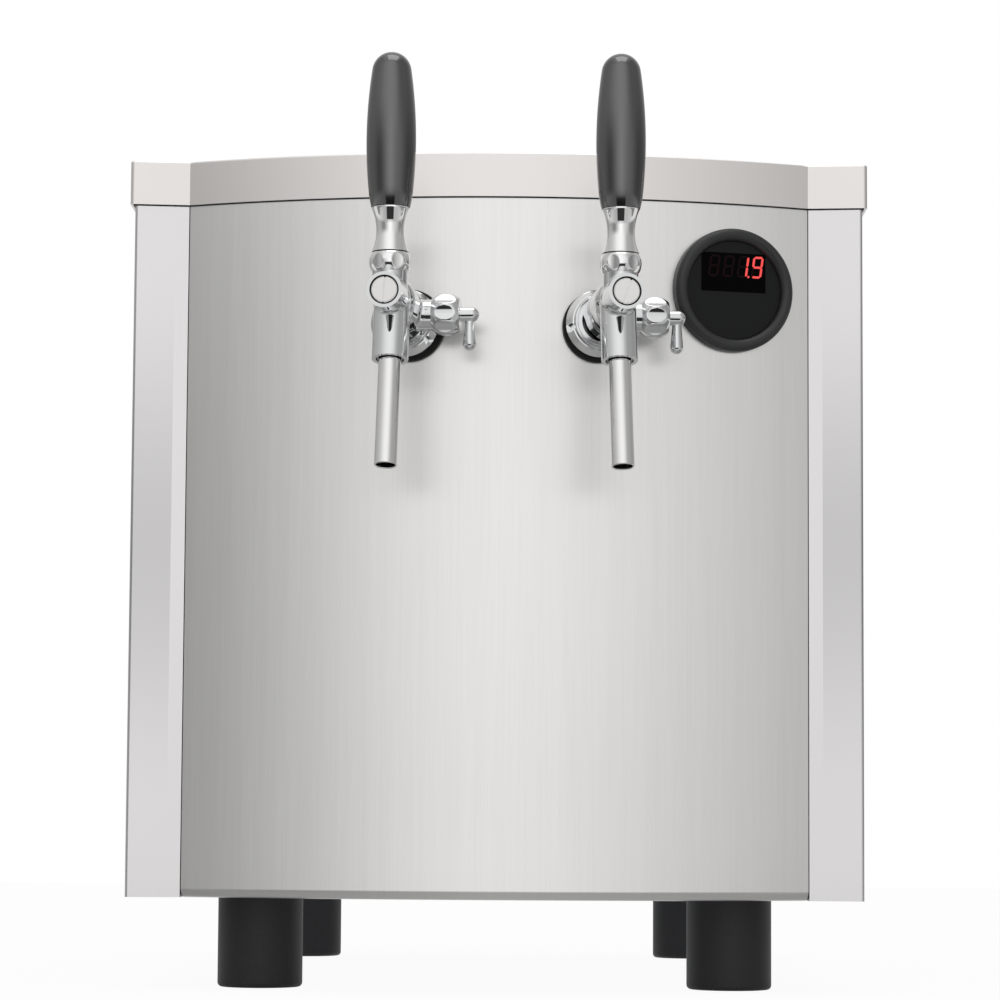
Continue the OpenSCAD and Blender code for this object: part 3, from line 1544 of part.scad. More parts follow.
base_tray();
left_side_panel();
right_side_panel();
front_panel();
rear_panel();
lid();
cabinet_screws();
placed_foot(-1, -1);  // foot_front_left
placed_foot(1, -1);  // foot_front_right
placed_foot(-1, 1);  // foot_rear_left
placed_foot(1, 1);  // foot_rear_right
foot_bolts();
thermometer_bezel();
thermometer_face();
thermometer_case();
thermometer_nut();
display_digits();
tap_gasket(-1);  // left_tap_gasket
tap_flange(-1);  // left_tap_flange
tap_body(-1);  // left_tap_body
tap_front_plug(-1);  // left_tap_front_plug
tap_collar_nut(-1);  // left_tap_collar_nut
tap_lever(-1);  // left_tap_lever
tap_handle(-1);  // left_tap_handle
tap_plunger(-1);  // left_tap_plunger
tap_spout(-1);  // left_tap_spout
compensator_bonnet(-1);  // left_compensator_bonnet
compensator_lever(-1);  // left_compensator_lever
compensator_cone(-1);  // left_compensator_cone
tap_back_nut(-1);  // left_tap_back_nut
tap_gasket(1);  // right_tap_gasket
tap_flange(1);  // right_tap_flange
tap_body(1);  // right_tap_body
tap_front_plug(1);  // right_tap_front_plug
tap_collar_nut(1);  // right_tap_collar_nut
tap_lever(1);  // right_tap_lever
tap_handle(1);  // right_tap_handle
tap_plunger(1);  // right_tap_plunger
tap_spout(1);  // right_tap_spout
compensator_bonnet(1);  // right_compensator_bonnet
compensator_lever(1);  // right_compensator_lever
compensator_cone(1);  // right_compensator_cone
tap_back_nut(1);  // right_tap_back_nut
cold_block();
insulation_box();
compressor();
compressor_grommets();
condenser();
fan_bracket();
fan_motor();
fan_blades();
refrigerant_pipes();
beer_lines();
wiring_loom();
inlet_fittings();
mains_gland();
power_switch_frame();
power_switch_rocker();
thermostat_body();
thermostat_knob();
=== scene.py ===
# %% [markdown]
# # A draft beer dispenser, dressed for its picture
#
# A counter-top beer cooler is a steel cabinet with taps on its front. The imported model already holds
# every piece at its real size, and the joints that move them. This lesson adds the looks: it gives each
# surface its finish, and models again the pieces whose blends, round edges and curves show more than
# plain solids can. Nothing is moved or resized, so each new piece is built where the solid that it stands
# for lies.

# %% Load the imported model
import json
import math

import bpy
from mathutils import Matrix, Vector

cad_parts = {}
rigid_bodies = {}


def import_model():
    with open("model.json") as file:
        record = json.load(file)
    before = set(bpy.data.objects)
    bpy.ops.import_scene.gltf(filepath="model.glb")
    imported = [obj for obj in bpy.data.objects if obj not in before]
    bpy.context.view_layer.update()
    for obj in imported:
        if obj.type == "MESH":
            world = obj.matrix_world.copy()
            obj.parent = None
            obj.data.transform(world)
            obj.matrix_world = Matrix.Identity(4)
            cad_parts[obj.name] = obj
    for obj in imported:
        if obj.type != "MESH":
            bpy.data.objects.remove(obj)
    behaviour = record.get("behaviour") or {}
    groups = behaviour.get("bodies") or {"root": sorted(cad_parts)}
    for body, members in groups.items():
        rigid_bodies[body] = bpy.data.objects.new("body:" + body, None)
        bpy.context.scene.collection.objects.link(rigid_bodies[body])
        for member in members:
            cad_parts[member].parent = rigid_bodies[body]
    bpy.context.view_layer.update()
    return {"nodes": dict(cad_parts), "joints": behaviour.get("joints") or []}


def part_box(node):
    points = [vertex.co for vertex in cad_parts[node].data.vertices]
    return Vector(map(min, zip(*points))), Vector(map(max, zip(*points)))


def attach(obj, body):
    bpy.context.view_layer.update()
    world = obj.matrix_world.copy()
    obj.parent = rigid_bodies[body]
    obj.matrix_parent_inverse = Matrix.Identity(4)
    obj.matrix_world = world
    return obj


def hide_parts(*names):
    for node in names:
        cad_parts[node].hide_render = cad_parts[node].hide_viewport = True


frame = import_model()
mm = 0.001

# %% [markdown]
# ## The camera
#
# The photograph was taken from a low place straight in front: the lid's rim bends up in the middle, and
# the tops of the feet are seen a little from above. A long lens a little over two metres away gives that
# view. Its place and turn are kept as three angles, because they are easier to read than a matrix.

# %% Place the camera
eye = Vector((7.0, -2137.3, 92.8)) * mm
yaw, pitch, roll = -0.0028, 0.0911, -0.0062
forward = Vector((math.sin(yaw) * math.cos(pitch), math.cos(yaw) * math.cos(pitch), math.sin(pitch)))
level = Vector((math.cos(yaw), -math.sin(yaw), 0))
upright = level.cross(forward)
to_right = level * math.cos(roll) - upright * math.sin(roll)
to_top = level * math.sin(roll) + upright * math.cos(roll)
turn = Matrix((to_right, to_top, -forward)).transposed()
bpy.ops.object.camera_add(location=eye, rotation=turn.to_euler())
camera = bpy.context.object
camera.data.sensor_width = 36
camera.data.lens = 126
scene = bpy.context.scene
scene.camera = camera
scene.view_settings.view_transform = "Standard"
print("camera at", [round(v, 3) for v in camera.location])

# %% [markdown]
# ## Writing shaders as sums
#
# A node tree is easier to read as a sum than as a list of links. This small class holds one output
# socket, and Python's operators on it add Math nodes. Everything else, from noise to a colour mix, goes
# through its one method for nodes: settings are set first, and then each socket gets a value or a link.


# %% A socket that can be added and multiplied
class Wire:
    """One output of a node tree, or the bare tree to start from."""

    def __init__(self, tree, socket=None):
        self.tree = tree
        self.socket = socket

    def node(self, kind, settings=None, inputs=None, out=0):
        made = self.tree.nodes.new(kind)
        for name, value in (settings or {}).items():
            if name == "stops":
                set_stops(made.color_ramp, value)
            else:
                setattr(made, name, value)
        for name, value in (inputs or {}).items():
            if isinstance(value, Wire):
                self.tree.links.new(value.socket, made.inputs[name])
            else:
                made.inputs[name].default_value = value
        return Wire(self.tree, made.outputs[out])

    def maths(self, operation, first, second=0.0, third=0.0):
        return self.node("ShaderNodeMath", {"operation": operation}, {0: first, 1: second, 2: third})

    def __add__(self, other):
        return self.maths("ADD", self, other)

    def __sub__(self, other):
        return self.maths("SUBTRACT", self, other)

    def __rsub__(self, other):
        return self.maths("SUBTRACT", other, self)

    def __mul__(self, other):
        return self.maths("MULTIPLY", self, other)

    def __truediv__(self, other):
        return self.maths("DIVIDE", self, other)

    def __lt__(self, other):
        return self.maths("LESS_THAN", self, other)

    def __abs__(self):
        return self.maths("ABSOLUTE", self)

    __radd__ = __add__
    __rmul__ = __mul__


def set_stops(ramp, stops):
    """Gives a colour ramp these stops: pairs of a place from 0 to 1 and a grey level."""
    while len(ramp.elements) < len(stops):
        ramp.elements.new(1.0)
    for element, (place, level_here) in zip(ramp.elements, stops):
        element.position = place
        element.color = grey(level_here)


def grey(level_here):
    return (level_here, level_here, level_here, 1.0)


def mixed(wire, factor, first, second):
    """A colour between two others."""
    return wire.node("ShaderNodeMix", {"data_type": "RGBA"}, {0: factor, 6: first, 7: second}, out=2)


def ray(wire, kind):
    """1 where the light is followed from a ray of this kind, and 0 elsewhere."""
    return wire.node("ShaderNodeLightPath", out=f"Is {kind} Ray")


# %% [markdown]
# ## Studio light
#
# Bright metal shows the room more than itself, so the room is drawn with care. At eye level the light is
# strongest straight in front and falls off to both sides, more to the left than to the right, which is
# what makes the bowed panel look round. Higher up hangs a wide soft light. Low down, the sides and the
# back of the room are bright, so that flat panels look pale when they are seen from above, and a dark
# patch lies in front. Matt surfaces get one plain level from all sides. The camera itself sees white.

# %% The room as seen by the metal
# How bright the room is, by the angle in degrees from straight in front, to the left below zero
eye_level = [
    (-180, 0.34), (-150, 0.34), (-124, 0.40), (-87, 0.42), (-72, 0.32), (-60, 0.23), (-48, 0.255),
    (-41, 0.345), (-35, 0.45), (-25, 0.655), (-16, 0.86), (-7, 1.02), (0, 1.08), (9, 0.99), (23, 0.76),
    (35, 0.65), (48, 0.56), (58, 0.46), (72, 0.30), (87, 0.21), (124, 0.26), (150, 0.32), (180, 0.34),
]
higher_up = [
    (-180, 0.85), (-145, 0.72), (-124, 0.48), (-103, 0.48), (-87, 0.52), (-72, 0.58), (-59, 0.66),
    (-46, 0.78), (-34, 0.89), (-23, 0.95), (-11, 1.0), (0, 1.02), (23, 0.88), (34, 0.66), (46, 0.50),
    (59, 0.40), (72, 0.41), (87, 0.38), (103, 0.36), (124, 0.46), (145, 0.72), (180, 0.85),
]
low_down = [
    (-180, 0.82), (-130, 0.76), (-90, 0.70), (-60, 0.54), (-45, 0.46), (-35, 0.44), (-28, 0.42),
    (-16, 0.60), (0, 0.76), (9, 0.69), (23, 0.53), (35, 0.50), (48, 0.50), (60, 0.54), (90, 0.70),
    (130, 0.76), (180, 0.82),
]
overhead, plain_light, patch_level = 0.8, 0.8, 0.03
patch_left, patch_right, patch_top, patch_bottom, patch_soft = -27, 25, -8, -52, 3

world = bpy.data.worlds.new("studio")
world.use_nodes = True
scene.world = world
room = Wire(world.node_tree)
look = room.node("ShaderNodeTexCoord", out="Generated")
look_x, look_y, look_z = [room.node("ShaderNodeSeparateXYZ", inputs={0: look}, out=i) for i in range(3)]
bearing = room.maths("ARCTAN2", look_x, 0 - look_y)
height = room.maths("ARCSINE", look_z)


def around(stops):
    """Light that changes with the bearing."""
    places = [(angle / 360 + 0.5, level_here) for angle, level_here in stops]
    return room.node("ShaderNodeValToRGB", {"stops": places}, {0: bearing / math.tau + 0.5})


def rising(start, end, value=height):
    """0 at one angle and 1 at another, in degrees, with soft ends."""
    ends = {"Value": value, "From Min": math.radians(start), "From Max": math.radians(end)}
    return room.node("ShaderNodeMapRange", {"interpolation_type": "SMOOTHSTEP"}, ends)


glow = mixed(room, rising(-7, -1), around(low_down), around(eye_level))
glow = mixed(room, rising(7, 22), glow, around(higher_up))
glow = mixed(room, rising(50, 68), glow, grey(overhead))
in_patch = rising(patch_left - patch_soft, patch_left + patch_soft, bearing)
in_patch = in_patch * (1 - rising(patch_right - patch_soft, patch_right + patch_soft, bearing))
in_patch = in_patch * rising(patch_bottom - 4, patch_bottom + 4) * (1 - rising(patch_top - 2, patch_top))
glow = mixed(room, in_patch, glow, grey(patch_level))
colour = mixed(room, ray(room, "Glossy"), grey(plain_light), glow)
sight = room.maths("MAXIMUM", ray(room, "Camera"), ray(room, "Transmission"))
colour = mixed(room, sight, colour, grey(1.0))
world.node_tree.links.new(colour.socket, world.node_tree.nodes["Background"].inputs["Color"])
print("room drawn with", len(eye_level) + len(higher_up) + len(low_down), "levels")

# %% [markdown]
# The floor is pale. The camera sees it as nearly white by its own glow, with a small share of plain
# shading that keeps the object's soft shadow. In the metal it looks like a table: brightest in the
# middle, darker to the sides and close in front of the panel, and of one plain level beside and behind
# the cabinet.

# %% Floor and lamp
floor_front, floor_depth, floor_width = -0.75, 3.6, 4.0
floor_glow, level_behind = 0.94, 0.72
# Levels across the table and towards the cabinet, by places in metres
table_levels = [(-0.7, 0.52), (-0.45, 0.42), (-0.2, 0.62), (0.0, 0.95), (0.2, 0.74), (0.45, 0.52),
                (0.7, 0.54)]
near_stops = [(-0.60, 1.0), (-0.50, 0.42), (-0.20, 0.42), (-0.12, 1.0)]
bpy.ops.object.select_all(action="DESELECT")
bpy.ops.mesh.primitive_plane_add(size=1, location=(0, floor_front + floor_depth / 2, 0))
floor = bpy.context.object
floor.name = "floor"
floor.scale = (floor_width, floor_depth, 1)
floor_paint = bpy.data.materials.new("floor_paint")
floor_paint.use_nodes = True
ground = Wire(floor_paint.node_tree)
place = ground.node("ShaderNodeTexCoord", out="Object")
sideways = ground.node("ShaderNodeSeparateXYZ", inputs={0: place})
stops = [(x / floor_width + 0.5, level_here) for x, level_here in table_levels]
table = ground.node("ShaderNodeValToRGB", {"stops": stops}, {0: sideways + 0.5})
deep = ground.node("ShaderNodeSeparateXYZ", inputs={0: place}, out=1)
stops = [((y - floor_front) / floor_depth, level_here) for y, level_here in near_stops]
near = ground.node("ShaderNodeValToRGB", {"stops": stops}, {0: deep + 0.5})
table = ground.node("ShaderNodeVectorMath", {"operation": "MULTIPLY"}, {0: table, 1: near})
ends = {"Value": deep, "From Min": stops[2][0] - 0.5, "From Max": stops[3][0] - 0.5}
behind = ground.node("ShaderNodeMapRange", None, ends)
table = mixed(ground, behind, table, grey(level_behind))
sight = ground.maths("MAXIMUM", ray(ground, "Camera"), ray(ground, "Transmission"))
shown = ground.maths("MAXIMUM", sight * floor_glow, ray(ground, "Glossy"))
tone = mixed(ground, sight, table, grey(1.0))
matt = ground.node("ShaderNodeBsdfDiffuse", inputs={"Color": grey(0.85)})
lit = ground.node("ShaderNodeEmission", inputs={"Color": tone, "Strength": 1.0})
top = ground.node("ShaderNodeMixShader", inputs={0: shown, 1: matt, 2: lit})
output = floor_paint.node_tree.nodes["Material Output"]
floor_paint.node_tree.links.new(top.socket, output.inputs["Surface"])
floor.data.materials.append(floor_paint)

lamp_place, lamp_size, lamp_watts = (0.1, -0.5, 2.1), 1.2, 5.0
bpy.ops.object.light_add(type="AREA", location=lamp_place)
lamp = bpy.context.object
lamp.data.size = lamp_size
lamp.data.energy = lamp_watts
lamp.visible_camera = False
print("floor and lamp set")

# %% [markdown]
# ## Finishes
#
# Each finish is one small function or call. The steel sheets are brushed: long thin streaks run up the
# sheet, so the noise is stretched along Z. The streaks move both the tone and the roughness a little, and
# the shader spreads its gloss sideways, as upright scratches do. The lid is paler and has no such spread,
# which would show as a fan on its flat top.


# %% Helpers for finishes
def new_finish(name, plain):
    """A material whose shader has these plain values, and a wire to build its pattern with."""
    material = bpy.data.materials.new(name)
    material.use_nodes = True
    for socket, value in plain.items():
        material.node_tree.nodes["Principled BSDF"].inputs[socket].default_value = value
    return material, Wire(material.node_tree)


def feed(material, socket, wire):
    shader = material.node_tree.nodes["Principled BSDF"]
    material.node_tree.links.new(wire.socket, shader.inputs[socket])


def grain_of(wire, stretch, detail=2.0):
    """Noise about zero, with this many cycles to the metre along x, y and z."""
    place = wire.node("ShaderNodeTexCoord", out="Object")
    spread = wire.node("ShaderNodeVectorMath", {"operation": "MULTIPLY"}, {0: place, 1: stretch})
    return wire.node("ShaderNodeTexNoise", None, {"Vector": spread, "Scale": 1.0, "Detail": detail}) - 0.5


def tint(wire, factor, dark, light):
    """A colour between two others, by a factor about zero."""
    return mixed(wire, factor + 0.5, (*dark, 1), (*light, 1))


def scaled(colour_here, by):
    return tuple(min(1.0, c * by) for c in colour_here)


# %% Brushed steel sheets
def brushed_steel(name, tone, roughness, spread, contrast, stretch):
    """Steel sheet with a grain along Z: tone is its colour, spread how far the gloss is drawn sideways."""
    material, wire = new_finish(name, {"Metallic": 1.0, "Anisotropic": spread})
    fine = grain_of(wire, stretch)
    broad = grain_of(wire, tuple(s / 6 for s in stretch), 3.0)
    cloud = grain_of(wire, (11, 11, 8))
    streak = fine * 0.8 + broad * 0.6
    dark, light = scaled(tone, 1 - contrast), scaled(tone, 1 + contrast)
    feed(material, "Base Color", tint(wire, streak * 1.6, dark, light))
    feed(material, "Roughness", streak * 0.025 + cloud * 0.02 + roughness)
    bump = wire.node("ShaderNodeBump", None, {"Strength": 0.01, "Distance": 0.02 * mm, "Height": fine})
    feed(material, "Normal", bump)
    return material


brushed_front = brushed_steel("brushed_front", (0.89, 0.883, 0.868), 0.29, 0.75, 0.035, (900, 900, 14))
satin_tone, satin_grain = (0.775, 0.760, 0.768), (1300, 1300, 16)
satin_steel = brushed_steel("satin_steel", satin_tone, 0.24, 0.5, 0.010, satin_grain)
lid_steel = brushed_steel("lid_steel", (0.886, 0.852, 0.830), 0.34, 0.0, 0.010, satin_grain)
print("steel sheets:", brushed_front.name, satin_steel.name, lid_steel.name)

# %% [markdown]
# Chrome is nearly a mirror. Its only pattern is a faint haze where hands have been. Plastics and rubber
# get fine speckles in their tone and a soft bump, so that their highlights break up as moulded surfaces
# do.


# %% Chrome, plastics, rubber and the rest
def speckled(name, tone, roughness, scale, contrast=0.15, bumpy=0.1, **plain):
    """A moulded, cast or plated finish: fine speckles in tone, roughness and bump."""
    material, wire = new_finish(name, {key.replace("_", " "): value for key, value in plain.items()})
    speck = grain_of(wire, (scale, scale, scale), 3.0)
    cloud = grain_of(wire, (30, 30, 30))
    dark, light = scaled(tone, 1 - contrast), scaled(tone, 1 + contrast)
    feed(material, "Base Color", tint(wire, speck * 1.5, dark, light))
    feed(material, "Roughness", speck * 0.06 + cloud * 0.05 + roughness)
    bump = wire.node("ShaderNodeBump", None, {"Strength": bumpy, "Distance": 0.03 * mm, "Height": speck})
    feed(material, "Normal", bump)
    return material


def hazed(name, tone, roughness, haze):
    """Plated metal: a clean mirror with a faint haze in patches."""
    material, wire = new_finish(name, {"Metallic": 1.0})
    cloud = grain_of(wire, (60, 60, 60), 4.0)
    wipe = grain_of(wire, (500, 500, 90), 2.0)
    feed(material, "Base Color", tint(wire, cloud, scaled(tone, 0.97), scaled(tone, 1.03)))
    feed(material, "Roughness", roughness + haze * cloud + 0.5 * haze * wipe)
    return material


chrome = hazed("chrome", (0.92, 0.92, 0.915), 0.05, 0.04)
# A darker copy of the chrome: painted shade for the dimmer reflections on the cast body, flange, bonnet and
# compensator lever.
shaded_chrome = hazed("shaded_chrome", (0.75, 0.755, 0.76), 0.05, 0.04)
spout_steel = hazed("spout_steel", (0.86, 0.855, 0.845), 0.12, 0.06)
plug_plate = hazed("plug_plate", (0.84, 0.83, 0.81), 0.30, 0.08)
zinc_steel = hazed("zinc_steel", (0.62, 0.64, 0.67), 0.38, 0.15)
screw_steel = hazed("screw_steel", (0.66, 0.66, 0.65), 0.28, 0.10)
brass = hazed("brass", (0.74, 0.56, 0.28), 0.25, 0.12)
copper = hazed("copper", (0.80, 0.46, 0.31), 0.28, 0.14)
fin_aluminium = hazed("fin_aluminium", (0.74, 0.75, 0.77), 0.34, 0.12)
cast_aluminium = speckled("cast_aluminium", (0.60, 0.61, 0.62), 0.45, 900, bumpy=0.25, Metallic=1.0)
handle_black = speckled("handle_black", (0.003, 0.003, 0.0032), 0.13, 700, 0.08, 0.02, IOR=2.35)
foot_rubber = speckled("foot_rubber", (0.028, 0.028, 0.030), 0.45, 1500, 0.25, 0.20, Specular_IOR_Level=0.30)
gasket_rubber = speckled("gasket_rubber", (0.006, 0.006, 0.006), 0.50, 1500, 0.20, 0.15,
                         Specular_IOR_Level=0.25)
bezel_plastic = speckled("bezel_plastic", (0.022, 0.0225, 0.024), 0.38, 1800, 0.12, 0.10)
black_plastic = speckled("black_plastic", (0.014, 0.014, 0.015), 0.40, 1600, 0.15, 0.12)
rocker_red = speckled("rocker_red", (0.33, 0.022, 0.020), 0.32, 1200, 0.08, 0.06)
valve_plastic = speckled("valve_plastic", (0.62, 0.60, 0.52), 0.40, 900, 0.06, 0.08)
foam = speckled("foam", (0.72, 0.66, 0.46), 0.85, 260, 0.10, 0.50)
compressor_black = speckled("compressor_black", (0.016, 0.016, 0.017), 0.33, 500, 0.15, 0.10)
motor_grey = speckled("motor_grey", (0.30, 0.31, 0.32), 0.45, 900, 0.10, 0.12)
line_plastic = speckled("line_plastic", (0.72, 0.75, 0.76), 0.28, 300, 0.05, 0.05)
white_print = speckled("white_print", (0.80, 0.80, 0.79), 0.50, 2000, 0.05, 0.05)
grey_print = speckled("grey_print", (0.08, 0.08, 0.085), 0.50, 2000, 0.08, 0.05)
print("finishes:", len(bpy.data.materials))

# %% [markdown]
# ## Tools for modelling
#
# Most of a tap is turned work, so the main tool is a lathe: a line of points is drawn edge by edge, and
# spun about Z. Flat work starts the same way and is filled and drawn up. Cuts are Boolean steps. Cast
# pieces are joined from turned forms, remeshed into one skin and smoothed, which rounds the inner corners
# as a casting has them. Ends that have to stay crisp are made too long and trimmed flat afterwards.


# %% Drawing, turning and filling
def set_mode(mode):
    bpy.ops.object.mode_set(mode=mode)


def clear_selection():
    if bpy.context.object and bpy.context.object.mode != "OBJECT":
        set_mode("OBJECT")
    bpy.ops.object.select_all(action="DESELECT")


def activate(piece):
    clear_selection()
    piece.select_set(True)
    bpy.context.view_layer.objects.active = piece


def arc(middle, radius, start, end, parts=10):
    """Points along an arc, given by its middle and its first and last angle in degrees."""
    angles = [math.radians(start + (end - start) * i / parts) for i in range(parts + 1)]
    return [(middle[0] + radius * math.cos(a), middle[1] + radius * math.sin(a)) for a in angles]


def tilt_of(across, radius):
    """The angle in degrees at which a circle of this radius lies this far from its axis."""
    return math.degrees(math.acos(across / radius))


def box_outline(width, tall, rise=0.0):
    """The corners of a rectangle about the middle, raised by rise."""
    low, high = rise - tall / 2, rise + tall / 2
    return [(-width / 2, low), (width / 2, low), (width / 2, high), (-width / 2, high)]


def draw_line(name, points):
    """Starts an object: a line of edges through points in millimetres. Stays in edit mode."""
    clear_selection()
    bpy.ops.mesh.primitive_plane_add(size=mm)
    bpy.context.object.name = name
    set_mode("EDIT")
    bpy.ops.mesh.select_mode(type="VERT")
    bpy.ops.mesh.merge(type="CENTER")
    path = [Vector(p) * mm for p in points]
    bpy.ops.transform.translate(value=path[0])
    for here, there in zip(path, path[1:]):
        bpy.ops.mesh.extrude_vertices_move(TRANSFORM_OT_translate={"value": there - here})
    bpy.ops.mesh.select_all(action="SELECT")
    return bpy.context.object


def close_up():
    """Merges doubled points, turns the faces outwards and leaves edit mode."""
    bpy.ops.mesh.select_all(action="SELECT")
    bpy.ops.mesh.remove_doubles(threshold=0.002 * mm)
    bpy.ops.mesh.normals_make_consistent(inside=False)
    set_mode("OBJECT")


def turned(name, section, steps=96):
    """A piece turned about Z from a half section: pairs of a radius and a height."""
    piece = draw_line(name, [(r, 0, z) for r, z in section])
    bpy.ops.mesh.spin(steps=steps, angle=math.tau, center=(0, 0, 0), axis=(0, 0, 1))
    close_up()
    return piece


def rod(name, radius, low, high, steps=96):
    """A round rod about Z."""
    return turned(name, [(0, low), (radius, low), (radius, high), (0, high)], steps)


def plate(name, outline, thickness):
    """A plate on the XY plane with this outline, drawn up along Z."""
    piece = draw_line(name, [(x, y, 0) for x, y in outline])
    bpy.ops.mesh.edge_face_add()
    bpy.ops.mesh.extrude_region_move(TRANSFORM_OT_translate={"value": (0, 0, thickness * mm)})
    close_up()
    return piece


# %% Placing, cutting and softening
def shift(x, y, z):
    return Matrix.Translation(Vector((x, y, z)) * mm)


def spun(degrees, axis):
    return Matrix.Rotation(math.radians(degrees), 4, axis)


def seat(piece, matrix):
    """Puts a piece in its place, with the place in its mesh."""
    activate(piece)
    piece.matrix_world = matrix
    bpy.ops.object.transform_apply(location=True, rotation=True, scale=True)
    return piece


def finish_step(piece, step):
    activate(piece)
    bpy.ops.object.modifier_apply(modifier=step.name)


def combine(piece, tool, operation="DIFFERENCE"):
    """Cuts a piece with a tool, or fuses the two."""
    step = piece.modifiers.new("combine", "BOOLEAN")
    step.operation = operation
    step.object = tool
    step.solver = "MANIFOLD"
    finish_step(piece, step)
    bpy.data.objects.remove(tool)
    return piece


def copy_of(model, name):
    """A copy of a piece with a mesh of its own."""
    piece = model.copy()
    piece.data = model.data.copy()
    piece.name = name
    scene.collection.objects.link(piece)
    return piece


def joined(name, *pieces):
    activate(pieces[0])
    for piece in pieces:
        piece.select_set(True)
    bpy.ops.object.join()
    bpy.context.object.name = name
    return bpy.context.object


def cast(piece, voxel, rounds):
    """Melts overlapping forms into one skin, and smooths its corners."""
    skin = piece.modifiers.new("skin", "REMESH")
    skin.mode = "VOXEL"
    skin.voxel_size = voxel * mm
    finish_step(piece, skin)
    calm = piece.modifiers.new("calm", "SMOOTH")
    calm.factor = 0.5
    calm.iterations = rounds
    finish_step(piece, calm)
    return piece


def trim(piece, point, normal):
    """Cuts a piece flat: what lies beyond the plane goes, and the cut is closed."""
    activate(piece)
    set_mode("EDIT")
    bpy.ops.mesh.select_all(action="SELECT")
    bpy.ops.mesh.bisect(plane_co=Vector(point) * mm, plane_no=normal, use_fill=True,
                        clear_outer=True, threshold=0.001 * mm)
    set_mode("OBJECT")
    return piece


def shade(piece, sharpest=30):
    """Smooth shading, except over edges sharper than this. Large faces stay flat beside small bevels."""
    activate(piece)
    bpy.ops.object.shade_smooth_by_angle(angle=math.radians(sharpest))
    step = piece.modifiers.new("flat", "WEIGHTED_NORMAL")
    step.keep_sharp = True
    finish_step(piece, step)
    return piece


def bevel_where(piece, is_wanted, width, parts):
    """Rounds the edges whose two ends, in millimetres, pass a test."""
    activate(piece)
    set_mode("EDIT")
    bpy.ops.mesh.select_all(action="DESELECT")
    bpy.ops.mesh.select_mode(type="EDGE")
    set_mode("OBJECT")
    ends = [vertex.co / mm for vertex in piece.data.vertices]
    for edge in piece.data.edges:
        edge.select = bool(is_wanted(ends[edge.vertices[0]], ends[edge.vertices[1]]))
    set_mode("EDIT")
    bpy.ops.mesh.bevel(offset=width * mm, segments=parts, affect="EDGES")
    set_mode("OBJECT")
    return piece


def dress(piece, body, finish, slot, *nodes):
    """Gives a new piece its finish, its body and the solids that it stands for."""
    piece.data.materials.clear()
    piece.data.materials.append(finish)
    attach(piece, body)
    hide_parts(*nodes)


def paint(finish, *nodes):
    """Gives solids that stay as they are their finish."""
    for node in nodes:
        solid = frame["nodes"][node]
        if not solid.material_slots:
            solid.data.materials.append(finish)
        for slot in solid.material_slots:
            slot.material = finish


# %% [markdown]
# ## The two taps
#
# Both taps are the same, so each piece is modelled once, in millimetres about the tap's own axis where it
# meets the panel: x runs across to the viewer's right, y into the cabinet, z up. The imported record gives
# the lever's hinge, and from it comes the matrix that carries a finished piece to the left or the right
# tap.

# %% Where the taps stand
lever_reach, pivot_z, valve_rise = 65.0, 18.6, 4.6
hinges = {j["name"]: j for j in frame["joints"]}
tap_frames = {}
for word in ("left", "right"):
    hinge = hinges[f"{word}_lever_turn"]
    side_way = Vector(hinge["axis"])
    inward = Vector((-side_way.y, side_way.x, 0))
    turned_frame = Matrix((side_way, inward, Vector((0, 0, 1)))).transposed().to_4x4()
    tap_frames[word] = Matrix.Translation(hinge["pos_m"]) @ turned_frame @ shift(0, lever_reach, -pivot_z)
out_of_panel = spun(90, "X")
to_the_right = spun(90, "Y")
on_pivot = shift(0, -lever_reach, pivot_z)
x_to_y_to_z = Matrix.Rotation(math.radians(120), 4, Vector((1, 1, 1)))


def on_both_taps(model, name, node, body, finish, slot, own_turn=None):
    """Copies a tap's piece to both taps, each with its own mesh. own_turn turns or moves a copy first."""
    for side, tap_frame in tap_frames.items():
        piece = copy_of(model, f"{side}_{name}")
        first = own_turn[side] if own_turn else Matrix()
        seat(piece, tap_frame @ first)
        dress(piece, body.format(side), finish, slot, node.format(side))
    bpy.data.objects.remove(model)


print("taps stand at", [[round(v, 4) for v in m.translation] for m in tap_frames.values()])

# %% [markdown]
# The tap body is a casting: a shank that comes out of the flange, a barrel that leans over the glass, a
# boss in front for the valve's plug, a neck on top for the lever and a neck on the side for the
# compensator. A spine along the shank makes its back fuller. These six forms are joined and melted into
# one skin. Then the ends are trimmed flat and the bores are cut.

# %% Cast tap body
shank_start, shank_end, shank_r, shank_end_r = 15.6, 50.7, 12.0, 10.5
boss_r, boss_face = 9.4, 86.0
barrel_r, barrel_len, barrel_reach, spout_lean = 9.6, 34.3, 55.5, 12.0
neck_r, neck_top = 9.3, 16.7
spine_r, spine_end_r, spine_len, spine_low, spine_high = 12.4, 11.5, 34.0, 2.2, 5.0
comp_reach, comp_neck_r, comp_neck_end = 24.0, 8.2, 17.0
spare = 4.0
on_barrel = shift(0, -barrel_reach, valve_rise) @ spun(-spout_lean, "X")
on_compensator = shift(0, -comp_reach, 0) @ to_the_right
on_valve = shift(0, 0, valve_rise) @ out_of_panel

